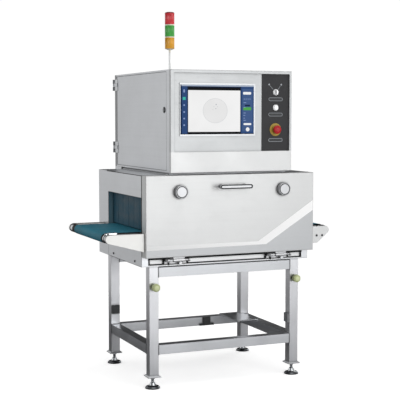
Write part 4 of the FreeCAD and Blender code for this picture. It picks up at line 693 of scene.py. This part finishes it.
def display_picture():
    """The picture: a round product with a faint rim and a few specks in it."""
    display_area("image", [rounded(IMAGE_LEFT, IMAGE_RIGHT, IMAGE_LOW, IMAGE_TOP)], "white", 1)
    display_area("product", [oval(61)], "faint", 2)
    rim = bmesh.new()
    frame_strip(rim, oval(62), oval(60.4), screen_face - 0.3, 0.3)
    piece("display_product_rim", rim, SCREEN["soft"])
    specks = ((-80, 1321, 2.6), (-81, 1302, 2), (-91, 1311, 1.4), (-72, 1311, 1.4), (-96, 1297, 1.2))
    display_area("specks", [circle(*speck, 12) for speck in specks], "grey", 3)


def display_controls():
    """Plain icons, lines and buttons in both side bars."""
    icons = [rounded(ICON_LEFT, ICON_RIGHT, z, z + 7, 1.5) for z in (1314, 1283, 1253, 1223)]
    icons.append(rounded(ICON_LEFT, ICON_RIGHT, 1375, 1389, 2.5))
    icons += [rounded(x, x + 3, 1344, 1350) for x in (62, 72, 82, 92)]
    lines = ((1329, 14), (1307, 10), (1281, 12), (1270, 9), (1257, 7), (1247, 12))
    icons += [rounded(60, 60 + wide, z, z + 2.6) for z, wide in lines]
    display_area("icons", icons, "pale", 3)
    display_area("field", [rounded(67, 94, 1313, 1321)], "deep", 3)
    display_area("active", [rounded(-246, -232, 1341, 1354.5, 2)], "teal", 3)
    buttons = [rounded(58, 99, 1368, 1380, 3), rounded(61, 100, 1226, 1235, 2), circle(82, 1206, 9.5, 28)]
    display_area("controls", buttons, "white", 3)
    display_area("start", [rounded(59, 100, 1295, 1309, 2)], "green", 3)


display_frame()
display_picture()
display_controls()

# Control plate markings

DEVICE_X = 228
SELECTOR_HIGH = 1380
LABELS_HIGH = (1347, 1275, 1155)
LABEL_REACH, LABEL_RISE, LABEL_LINE = 37, 8, 1.6
MARK_WIDE, MARK_DEEP = 1.4, 0.2
plate_face = limits("control_plate")[0].y
label_face = limits("label_plates")[0].y


def stroke(mesh, start, end):
    """A thin straight mark on the control plate."""
    start, end = Vector(start), Vector(end)
    way = (end - start).normalized() * MARK_WIDE / 2
    side = Vector((-way.y, way.x))
    corners = [start + side, start - side, end - side, end + side]
    prism(mesh, corners, plate_face - MARK_DEEP, MARK_DEEP, frontal)


def plate_marks():
    """Selector position marks and the outlines of the bare labels."""
    marks = bmesh.new()
    for side, reach in ((-1, 34), (1, 30)):
        near = (DEVICE_X + side * 13, SELECTOR_HIGH + 13)
        far = (DEVICE_X + side * (reach - 4), SELECTOR_HIGH + 31)
        stroke(marks, near, far)
        dot = circle(DEVICE_X + side * reach, SELECTOR_HIGH + 36, 4.2, 20)
        prism(marks, dot, plate_face - MARK_DEEP, MARK_DEEP, frontal)
    # The marks glow with the display's lit grey: painted light on print
    piece("selector_marks", marks, SCREEN["grey"])
    outlines = bmesh.new()
    for high in LABELS_HIGH:
        outer, inner = [rounded(DEVICE_X - LABEL_REACH + cut, DEVICE_X + LABEL_REACH - cut,
                                high - LABEL_RISE + cut, high + LABEL_RISE - cut, LABEL_RISE - cut)
                        for cut in (0, LABEL_LINE)]
        frame_strip(outlines, outer, inner, label_face - 0.3, 0.3)
    # The label outlines glow the same way: painted light on print
    piece("label_outlines", outlines, SCREEN["grey"])


plate_marks()

# Door fittings

HANDLE_FACE = -52
HANDLE_HIGH = 943
LATCH_X, LATCH_HIGH, LATCH_FACE = 263, 923, -24
DOOR_HALF = 430


def bar(wide, high):
    """The outline of the handle's bar, with round ends."""
    half = high / 2
    return rounded(-wide / 2, wide / 2, HANDLE_HIGH - half, HANDLE_HIGH + half, half - 0.01, 10)


def door_trims():
    """Dark rings on the latch knobs and a dark rim on the handle, all painted shade, and edging round the
    door's back.
    """
    # Painted shade: a dark ring in each latch knob's groove, a dark washer round its base and a dark rim on
    # the handle's face
    ring, back = washer(23.4, 27.0, 0.3, 1.9), washer(21.0, 31.6, -1.4, -0.05)
    for side, x in (("left", -LATCH_X), ("right", LATCH_X)):
        turned("latch_shade_ring_" + side, (x, LATCH_FACE, LATCH_HIGH), ring, "latch_" + side)
        turned("latch_shade_washer_" + side, (x, 0, LATCH_HIGH), back, "front_door")
    rim = bmesh.new()
    frame_strip(rim, bar(162.8, 19.8), bar(153.6, 10.6), HANDLE_FACE - 0.2, 0.2)
    black_strip("handle_shade_rim", rim, "front_door")
    path = [(-DOOR_HALF, 627), (-DOOR_HALF, 998), (DOOR_HALF, 998), (DOOR_HALF, 627)]
    edging("door_edging", path, eased(-0.8, 0.7, 52.6, 57.0, 0.25), frontal, "front_door")


door_trims()

# Console fittings

PLINTH_REACH = 297
PLINTH_FRONT = 58
CABINET_TOP = 998
CONSOLE_LOW = 1009
CONSOLE_SIDE = 309
LOCK_Y, LOCK_HIGH = 79, 1296
HINGE_LOWS = (1079, 1399)
HINGE_TALL = 57


def console_trims():
    """A black strip standing in for the shadow gap under the console, the skirts under it, the side door's
    lock ring in black as painted shade, darker films of painted shade along the rear edge of the side and its
    door, and the hinge plates.
    """
    path = [(PLINTH_REACH, PLINTH_FRONT), (-PLINTH_REACH, PLINTH_FRONT)]
    # A black strip standing in for the shadow gap under the console's front
    edging("console_shadow_strip", path, eased(-5.5, -0.1, CABINET_TOP + 3.4, CONSOLE_LOW - 0.1, 0.5), at)
    # The black ring round the side door's lock is painted shade
    lock = (-CONSOLE_SIDE, LOCK_Y, LOCK_HIGH)
    turned("lock_ring", lock, washer(9.3, 13.5, -2.0, -0.05), "side_door", way="x")
    skirts = bmesh.new()
    outline = oblong(62, 674, CABINET_TOP + 0.2, CABINET_TOP + 5)
    for side in (-1, 1):
        prism(skirts, outline, side * (CONSOLE_SIDE - 1), -side * 10, sideways)
    piece("plinth_skirts", skirts, stainless_level)
    # Painted shade: darker films along the rear edge of the console's side and of its door
    for name, body, outline in (("side_door_flange_shade", "side_door", rounded(747, 760, 1020, 1468, 1)),
                                ("console_flange_shade", "machine", rounded(762, 786.5, 1010, 1478, 1))):
        slabs(name, [outline], -CONSOLE_SIDE + 0.05, -0.25, flange_shade_grey, body, sideways)
    slabs("side_door_plates", [rounded(739, 785.5, low, low + HINGE_TALL, 2.5) for low in HINGE_LOWS],
          -CONSOLE_SIDE - 0.4, -1.8, plate_grey, "side_door", sideways, 0.5)


console_trims()

# Cabinet: painted shadow strips along the sill, and dark joints at the ends

SILL_REACH = 398
HINGE_X = 263
HINGE_HALF = 55
SILL_BAYS = ((-SILL_REACH, -HINGE_X - HINGE_HALF - 1), (-HINGE_X + HINGE_HALF + 1, HINGE_X - HINGE_HALF - 1),
             (HINGE_X + HINGE_HALF + 1, SILL_REACH))


def sill_shadow_strips():
    """Black strips along the sill between the hinges and beside each hinge, standing in for the shadows in
    the sill's recess.
    """
    shadow_strips = bmesh.new()
    for low_x, high_x in SILL_BAYS:
        strip(shadow_strips, (low_x, high_x), (53.5, 58), (607.5, 621.2))
        strip(shadow_strips, (low_x, high_x), (61.8, 64.6), (582.6, 587.2))
        for x in (low_x + 0.5, high_x - 7):
            strip(shadow_strips, (x, x + 6.5), (58.2, 66), (583, 612))
    black_strip("sill_shadow_strips", shadow_strips)
    hinge_shadows = bmesh.new()
    for middle in (-HINGE_X, HINGE_X):
        strip(hinge_shadows, (middle - 38.5, middle - 31), (56.5, 60.8), (580, 619))
        strip(hinge_shadows, (middle + 31, middle + 35), (56.5, 60.8), (582, 614))
    black_strip("hinge_shadow_strips", hinge_shadows)


sill_shadow_strips()

CABINET_HALF = 430
FILLER_FRONT, FILLER_BACK = 60, 540
FILLER_LOW, FILLER_TOP = 576, 650
FILLER_JOINTS = (
    oblong(FILLER_BACK - 1, FILLER_BACK + 1, FILLER_LOW + 0.3, FILLER_TOP),
    oblong(FILLER_FRONT, FILLER_BACK, FILLER_LOW + 0.2, FILLER_LOW + 1.8),
    oblong(FILLER_FRONT, FILLER_BACK, FILLER_TOP - 1.6, FILLER_TOP - 0.2),
    oblong(FILLER_FRONT - 1.8, FILLER_FRONT + 0.4, FILLER_LOW, CABINET_TOP - 1),
)


def end_seams():
    """The dark joints round the fillers, along the cabinet's top and beside the outfeed cheek."""
    seams = bmesh.new()
    strip(seams, (CABINET_HALF + 0.2, CABINET_HALF + 4), (16.2, 24), (652, 735))
    top = oblong(60, 560, CABINET_TOP - 3, CABINET_TOP - 0.2)
    for side in (-1, 1):
        face = side * CABINET_HALF
        prism(seams, top, face - side * 0.2, side * 0.35, sideways)
        for outline in FILLER_JOINTS:
            prism(seams, outline, face - side * 0.3, side * 0.45, sideways)
    black_strip("end_seams", seams)


end_seams()

# Screws and small fittings

HAND_KNOB_X, HAND_KNOB_HIGH, HAND_KNOB_FACE = 365.5, 480, 31
LEG_FRONT = 71
KNOB_CAP = [(0, -2.2), (5, -2.0), (9.5, -1.2), (11.2, -0.2), (11.2, 0.6), (0, 0.6)]


def hand_knob_trims():
    """A paler cap on each hand knob's face and a dark washer where its stud enters the leg."""
    back = washer(9.1, 13.5, -2.2, -0.4)
    for side, x in (("left", -HAND_KNOB_X), ("right", HAND_KNOB_X)):
        body = "clamp_" + side
        front = (x, HAND_KNOB_FACE, HAND_KNOB_HIGH)
        turned("hand_knob_cap_" + side, front, KNOB_CAP, body, knob_cap, 32)
        turned("hand_knob_washer_" + side, (x, LEG_FRONT, HAND_KNOB_HIGH), back, body, steps=32)


hand_knob_trims()

REAR_FACE = 787
COVER_LOW, COVER_MIDDLE, COVER_TOP = 620, 806, 993
COVER_SCREWS = ([(x, z) for x in (-293, 293) for z in (COVER_LOW, COVER_MIDDLE, COVER_TOP)]
                + [(x, z) for x in (-100, 100) for z in (COVER_LOW, COVER_TOP)])
SCREW = [(1.6, 0.2), (1.9, 0.9), (4.4, 0.9), (5.4, 0.2), (5.4, -0.2), (0, -0.2), (0, 0.2), (1.6, 0.2)]


def rear_screws():
    """Countersunk screws round the rear cover."""
    screws = bmesh.new()
    for x, z in COVER_SCREWS:
        lathe(screws, SCREW, 20, about((x, REAR_FACE, z), "y"))
    bmesh.ops.remove_doubles(screws, verts=screws.verts, dist=1e-6)
    piece("rear_cover_screws", screws, stainless_dark)


rear_screws()

# Roller and cheek fittings

AXLE_HIGH = 715.7
INFEED_AXLE, OUTFEED_AXLE = -595, 508
CHEEK_FRONT_INNER = 29
COLLAR_RADIUS = 21.2
COLLARS = (("front", 70, 78.8), ("back", 509.2, 548), ("rim_front", 47, 52), ("rim_back", 584, 590))


def roller_collars():
    """Black collars beside the belt on both rollers."""
    for end, x, body in (("infeed", INFEED_AXLE, "free_roller"), ("outfeed", OUTFEED_AXLE, "driven_roller")):
        for side, low, high in COLLARS:
            collar = washer(17.6, COLLAR_RADIUS, low, high, 0.8)
            turned(f"{end}_collar_{side}", (x, 0, AXLE_HIGH), collar, body)


def take_up():
    """The black take-up block on the front infeed collar, with its cap and screws."""
    start = math.degrees(math.acos(-9 / COLLAR_RADIUS))
    turns = [math.radians(start - 10 * step) for step in range(10)]
    outline = [(INFEED_AXLE + COLLAR_RADIUS * math.cos(a), AXLE_HIGH + COLLAR_RADIUS * math.sin(a))
               for a in turns]
    outline += [(-558, 722), (-558, 735), (-604, 735), (-608, 731)]
    start = CHEEK_FRONT_INNER + 0.2
    slabs("take_up_block", [outline], start, 14, black_rubber_and_shade, ease=1.2)
    cap = bmesh.new()
    prism(cap, rounded(-598, -556, 29.6, 49, 3, 4), 735.4, 7.6, at)
    prism(cap, rounded(-612, -601, 31, 47, 3, 4), 735.4, 5, at)
    bevel_all(cap, 1.2)
    piece("take_up_cap", cap, chrome)
    screws = bmesh.new()
    for x in (-566, -588):
        lathe(screws, [(0, 2.6), (3.2, 2.6), (4, 1.8), (4, 0), (0, 0)], 6, about((x, 39, 742.8), "z"))
    piece("take_up_screws", screws, stainless_dark)


def belt_trims():
    """Black skirts under the belt's edges and the black edging on the rear infeed cheek."""
    skirts = bmesh.new()
    for along_y in ((64, 79), (509, 524)):
        for along_x in ((-560, -436), (436, 474)):
            strip(skirts, along_x, along_y, (729, 736.6))
    black_strip("belt_skirts", skirts)
    edging("cheek_edging", [(-434, 734), (INFEED_AXLE, 734)], eased(-1.6, 0.3, 599.2, 612.8, 0.4), frontal)


roller_collars()
take_up()
belt_trims()

# Weld beads

LEG_SIDE = 45
STAND_HALF = 388
STAND_FRONT, STAND_BACK = 71, 676
RAIL_LOWS = (160, 524)
BEAD_RADIUS = 2.2
BEAD_RIPPLE = 0.14
BEAD_STEP = 3
BEAD_SIDES = 6


def bead_path(start, low):
    """The outline of a rail's end in short steps."""
    corners = rounded(start, start + LEG_SIDE, low, low + LEG_SIDE, 3, 2)
    path = []
    for point, following in zip(corners, corners[1:] + corners[:1]):
        parts = max(1, int(math.dist(point, following) / BEAD_STEP))
        path += [(point[0] + (following[0] - point[0]) * k / parts,
                  point[1] + (following[1] - point[1]) * k / parts) for k in range(parts)]
    return path


def weld_bead(mesh, way, plane, start, low):
    """A rippled bead round the end of a rail that runs along X or Y."""
    half = LEG_SIDE / 2
    rows = []
    for i, (across, up) in enumerate(bead_path(start, low)):
        row = []
        for bulge, rise in circle(0, 0, BEAD_RADIUS * (1 + BEAD_RIPPLE * math.sin(i * 2.1)), BEAD_SIDES):
            out = 1 + bulge / half
            aside = start + half + (across - start - half) * out
            high = low + half + (up - low - half) * out
            place = (plane + rise, aside) if way == "x" else (aside, plane + rise)
            row.append(mesh.verts.new(at(*place, high)))
        rows.append(row)
    for first, second in zip(rows, rows[1:] + rows[:1]):
        band(mesh, first, second)


def weld_beads():
    """A bead round every rail where it meets a leg."""
    inner = STAND_HALF - LEG_SIDE
    joints = [("x", side * inner, y, low) for low in RAIL_LOWS for y in (STAND_FRONT, STAND_BACK - LEG_SIDE)
              for side in (-1, 1)]
    joints += [("y", y, x, RAIL_LOWS[0]) for x in (-STAND_HALF, inner)
               for y in (STAND_FRONT + LEG_SIDE, STAND_BACK - LEG_SIDE)]
    mesh = bmesh.new()
    for joint in joints:
        weld_bead(mesh, *joint)
    piece("weld_beads", mesh, weld_tint, smooth=1.2)


weld_beads()

# Belt and curtains

BELT_THICK = 2.0
BELT_EASE = 0.5
BELT_STEPS = 24


def belt_path(left, right, axle_z, radius):
    """The belt's inner line in X and Z, round both rollers."""
    path = []
    for x, start, reach, rise in ((left, 270, right - left, radius), (right, 90, left - right, -radius)):
        for step in range(BELT_STEPS + 1):
            angle = math.radians(start - 180 * step / BELT_STEPS)
            path.append((x + radius * math.cos(angle), axle_z + radius * math.sin(angle)))
        path += [(x + reach * step / BELT_STEPS, axle_z + rise) for step in range(1, BELT_STEPS)]
    return path


def belt():
    """The endless belt: a level band round both rollers with rounded edges."""
    low, high = limits("conveyor_belt")
    radius = (high.z - low.z) / 2 - BELT_THICK
    left, right = low.x + radius + BELT_THICK, high.x - radius - BELT_THICK
    path = belt_path(left, right, (high.z + low.z) / 2, radius)
    mesh = bmesh.new()
    rows = []
    for i, (x, z) in enumerate(path):
        way = (Vector(path[(i + 1) % len(path)]) - Vector(path[i - 1])).normalized()
        rows.append([mesh.verts.new(at(x - way.y * deep, y, z + way.x * deep))
                     for y, deep in eased(low.y, high.y, 0, BELT_THICK, BELT_EASE)])
    for first, second in zip(rows, rows[1:] + rows[:1]):
        band(mesh, first, second)
    made = piece("belt_band", mesh, belt_weave, smooth=0.5)
    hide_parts("conveyor_belt")


belt()

STRIP_LEANS = (0.4, -0.3, 0.2, -0.4, 0.3, -0.2)
STRIP_SLIT = 0.6
STRIP_STEPS = 14
SHEET_THICK = 3.6
SLIT_TOP = 18
HEM_BORE = 4.4
HEM_START, HEM_TURN, HEM_STEPS = 255, 330, 20


def border(rows):
    """The points round a grid's edge, from its last row."""
    return (rows[-1] + [row[-1] for row in reversed(rows[:-1])] + list(reversed(rows[0][:-1]))
            + [row[0] for row in rows[1:-1]])


def curtain_strip(mesh, number, start, end, middle, top, low):
    """One hanging strip of a curtain, slightly bowed and curled, with eased edges."""
    columns = [start, start + 1] + [start + (end - start) * k / 4 for k in (1, 2, 3)] + [end - 1, end]
    sides = []
    for way in (-1, 1):
        rows = []
        for step in range(STRIP_STEPS + 1):
            share = step / STRIP_STEPS
            bow = STRIP_LEANS[number] * math.sin(share * math.pi / 2) + 0.15 * math.sin(share * 7 + number)
            row = []
            for y in columns:
                ease = 0.25 if y in (start, end) else 0
                curl = 0.12 * math.cos((y - start) / (end - start) * math.tau) * share
                x = middle + bow + curl + way * (SHEET_THICK / 2 - ease)
                row.append(mesh.verts.new(at(x, y, top + (low - top) * share)))
            rows.append(row)
        for upper, lower in zip(rows, rows[1:]):
            for i in range(len(upper) - 1):
                mesh.faces.new((upper[i], upper[i + 1], lower[i + 1], lower[i]))
        sides.append(border(rows))
    band(mesh, *sides)


def curtain_hem(mesh, middle, rod_high, hem, front, back):
    """A curtain's hem: a ring round its rod that closes on the sheet below."""
    turns = [math.radians(HEM_START - HEM_TURN * step / HEM_STEPS) for step in range(HEM_STEPS + 1)]
    outer, inner = [[(middle + radius * math.cos(a), rod_high + radius * math.sin(a)) for a in turns]
                    for radius in (hem, HEM_BORE)]
    half, top = SHEET_THICK / 2, rod_high - SLIT_TOP
    outer = [(middle - half, top)] + outer + [(middle + half, top)]
    ends = [[[mesh.verts.new(at(x, y, z)) for x, z in ring] for ring in (outer, inner)]
            for y in (front, back)]
    for first, second in zip(*ends):
        band(mesh, first, second)
    for outer, inner in ends:
        for i in range(HEM_STEPS):
            mesh.faces.new((outer[i + 1], outer[i + 2], inner[i + 1], inner[i]))
        mesh.faces.new((outer[0], outer[1], inner[0], inner[-1], outer[-2], outer[-1]))


def curtain(node, body):
    """A lead-rubber curtain: a hem round its rod and a sheet slit into strips that hang unevenly."""
    low, high = limits(node)
    middle = (low.x + high.x) / 2
    hem = (high.x - low.x) / 2
    rod_high = high.z - hem
    front, back = low.y, high.y
    count = len(STRIP_LEANS)
    wide = (back - front) / count
    mesh = bmesh.new()
    for number in range(count):
        start = front + wide * number + (STRIP_SLIT / 2 if number else 0)
        end = front + wide * (number + 1) - (STRIP_SLIT / 2 if number < count - 1 else 0)
        curtain_strip(mesh, number, start, end, middle, rod_high - SLIT_TOP, low.z)
    curtain_hem(mesh, middle, rod_high, hem, front, back)
    made = piece("hanging_" + node, mesh, lead_sheet, body, smooth=0.7)
    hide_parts(node)


curtain("curtain_infeed", "infeed_curtain")
curtain("curtain_outfeed", "outfeed_curtain")

# Signal lamps

LENS_RIBS = 36
RIB_RISE = 0.6


def ribbed_lens(colour, look):
    """A lamp tier as a ribbed lens with a plain band at each end."""
    node = "tower_" + colour
    low, high = limits(node)
    x, y = (low.x + high.x) / 2, (low.y + high.y) / 2
    radius = (high.x - low.x) / 2
    tall = high.z - low.z
    ribbed = radius - 0.7
    end = [(radius - 3, 0, 0), (radius - 0.8, 0, 0), (radius, 0.8, 0), (radius, 3, 0), (ribbed, 4, RIB_RISE)]
    levels = end + [(ribbed, tall / 2, RIB_RISE)]
    levels += [(size, tall - up, rise) for size, up, rise in reversed(end)]
    turns = [math.tau * i / (LENS_RIBS * 6) for i in range(LENS_RIBS * 6)]
    mesh = bmesh.new()
    rings = []
    for reach, up, rise in levels:
        ring = []
        for a in turns:
            size = reach + rise * math.cos(a * LENS_RIBS)
            ring.append(mesh.verts.new(at(x + size * math.cos(a), y + size * math.sin(a), low.z + up)))
        rings.append(ring)
    for first, second in zip(rings, rings[1:]):
        band(mesh, first, second)
    mesh.faces.new(rings[0])
    mesh.faces.new(rings[-1])
    made = piece(node + "_lens", mesh, look, smooth=0.9)
    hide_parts(node)


for colour, look in LENSES.items():
    ribbed_lens(colour, look)

# Floor, surroundings and lights

FLOOR_RADIUS = 2.7
FLOOR_SHADE_FRONT = (0.62, 0.62, 0.63, 1)
FLOOR_SHADE_BACK = (0.12, 0.12, 0.125, 1)


def floor():
    """A pale floor that fades out before its edge; the metal sees it darker towards the back."""
    look = Look("floor_pale", (0.95, 0.95, 0.95), 0.6, Emission_Color=WHITE, Emission_Strength=0.55)
    look.paint("Base Color", look.shades(look.noise(30, 4.0, 0.6), 0.985, 1.0))
    colour = look.mix(look.span(look.axis("Y"), -0.9, 0.3), FLOOR_SHADE_FRONT, FLOOR_SHADE_BACK)
    seen = look.node("LightPath", out="Is Camera Ray")
    surface = look.blend(seen, look.node("BsdfDiffuse", {"Color": colour}), look.shader.outputs[0])
    here = look.node("TexCoord", out="Object")
    far = look.node("VectorMath", {0: here}, "Value", operation="LENGTH")
    fading = look.node("Mix", {0: seen, 2: look.span(far, 2.3, 2.65), 3: look.span(far, 1.3, 2.6)})
    faded = look.blend(fading, surface, look.node("BsdfTransparent"))
    look.tree.links.new(faded, look.tree.nodes["Material Output"].inputs["Surface"])
    mesh = bmesh.new()
    bmesh.ops.create_circle(mesh, cap_ends=True, segments=96, radius=FLOOR_RADIUS)
    made = mesh_object("floor", mesh, look.material)
    made.location.z = -0.0005


floor()

# Each card: where it hangs, the cosines where it starts and is full, and the light it adds
BASE_LIGHT = 0.3
CARDS = (
    ((0.39, -0.92, 0.12), 0.3, 0.85, 0.5),
    ((-0.5, 0.86, 0.12), 0.72, 0.95, 0.45),
    ((0, 0, 1), 0.4, 0.9, 0.15),
)
DARK_CARD = ((0.5, 0.86, 0.05), 0.72, 0.93, 0.93)
# The upward parts of a direction where the room below is darkest and is full, and its least light
ROOM_BELOW = (-0.32, -0.12, 0.35)
ROOM_SEEN = 1.02


def surroundings():
    """A white room for the camera; its light comes from soft cards, with a dark one behind the machine."""
    world = bpy.data.worlds.new("studio")
    world.use_nodes = True
    scene.world = world
    tree = world.node_tree
    tree.nodes.clear()
    ending = tree.nodes.new("ShaderNodeOutputWorld")
    room = Steps(tree)
    here = room.node("TexCoord", out="Generated")

    def near(way, start, full, strength):
        """How near a direction is to a card, times the card's strength."""
        ways = {0: here, 1: Vector(way).normalized()}
        facing = room.node("VectorMath", ways, "Value", operation="DOT_PRODUCT")
        return room.span(facing, start, full, 0, strength, interpolation_type="SMOOTHSTEP")

    level = BASE_LIGHT
    for card in CARDS:
        level = room.add(level, near(*card))
    level = room.times(level, room.add(1.0, near(*DARK_CARD), "SUBTRACT"))
    level = room.times(level, room.span(room.node("SeparateXYZ", {"Vector": here}, "Z"), *ROOM_BELOW))
    lighting, seen = [room.node("Background", {"Color": WHITE, "Strength": strength})
                      for strength in (level, ROOM_SEEN)]
    ray = room.node("LightPath", out="Is Camera Ray")
    tree.links.new(room.blend(ray, lighting, seen), ending.inputs["Surface"])


surroundings()


def softbox(name, place, target, wide, high, power):
    """A soft rectangular light aimed at a point of the machine."""
    data = bpy.data.lights.new(name, "AREA")
    data.shape = "RECTANGLE"
    data.size, data.size_y = wide, high
    data.energy = power
    made = add_object(name, data)
    made.location = Vector(place)
    aim(made, Vector(target) - made.location)


softbox("key", (0.9, -4.2, 1.3), (0, 0, 0.8), 3.0, 2.2, 60)
softbox("top", (0.0, -0.6, 3.8), (0, 0, 0), 2.6, 2.2, 18)
softbox("right", (3.5, 2.0, 1.7), (0, 0, 0.9), 1.8, 1.8, 30)
softbox("left", (-3.6, 1.6, 1.9), (0, 0, 1.0), 1.8, 1.8, 23)

scene.view_settings.view_transform = "Standard"
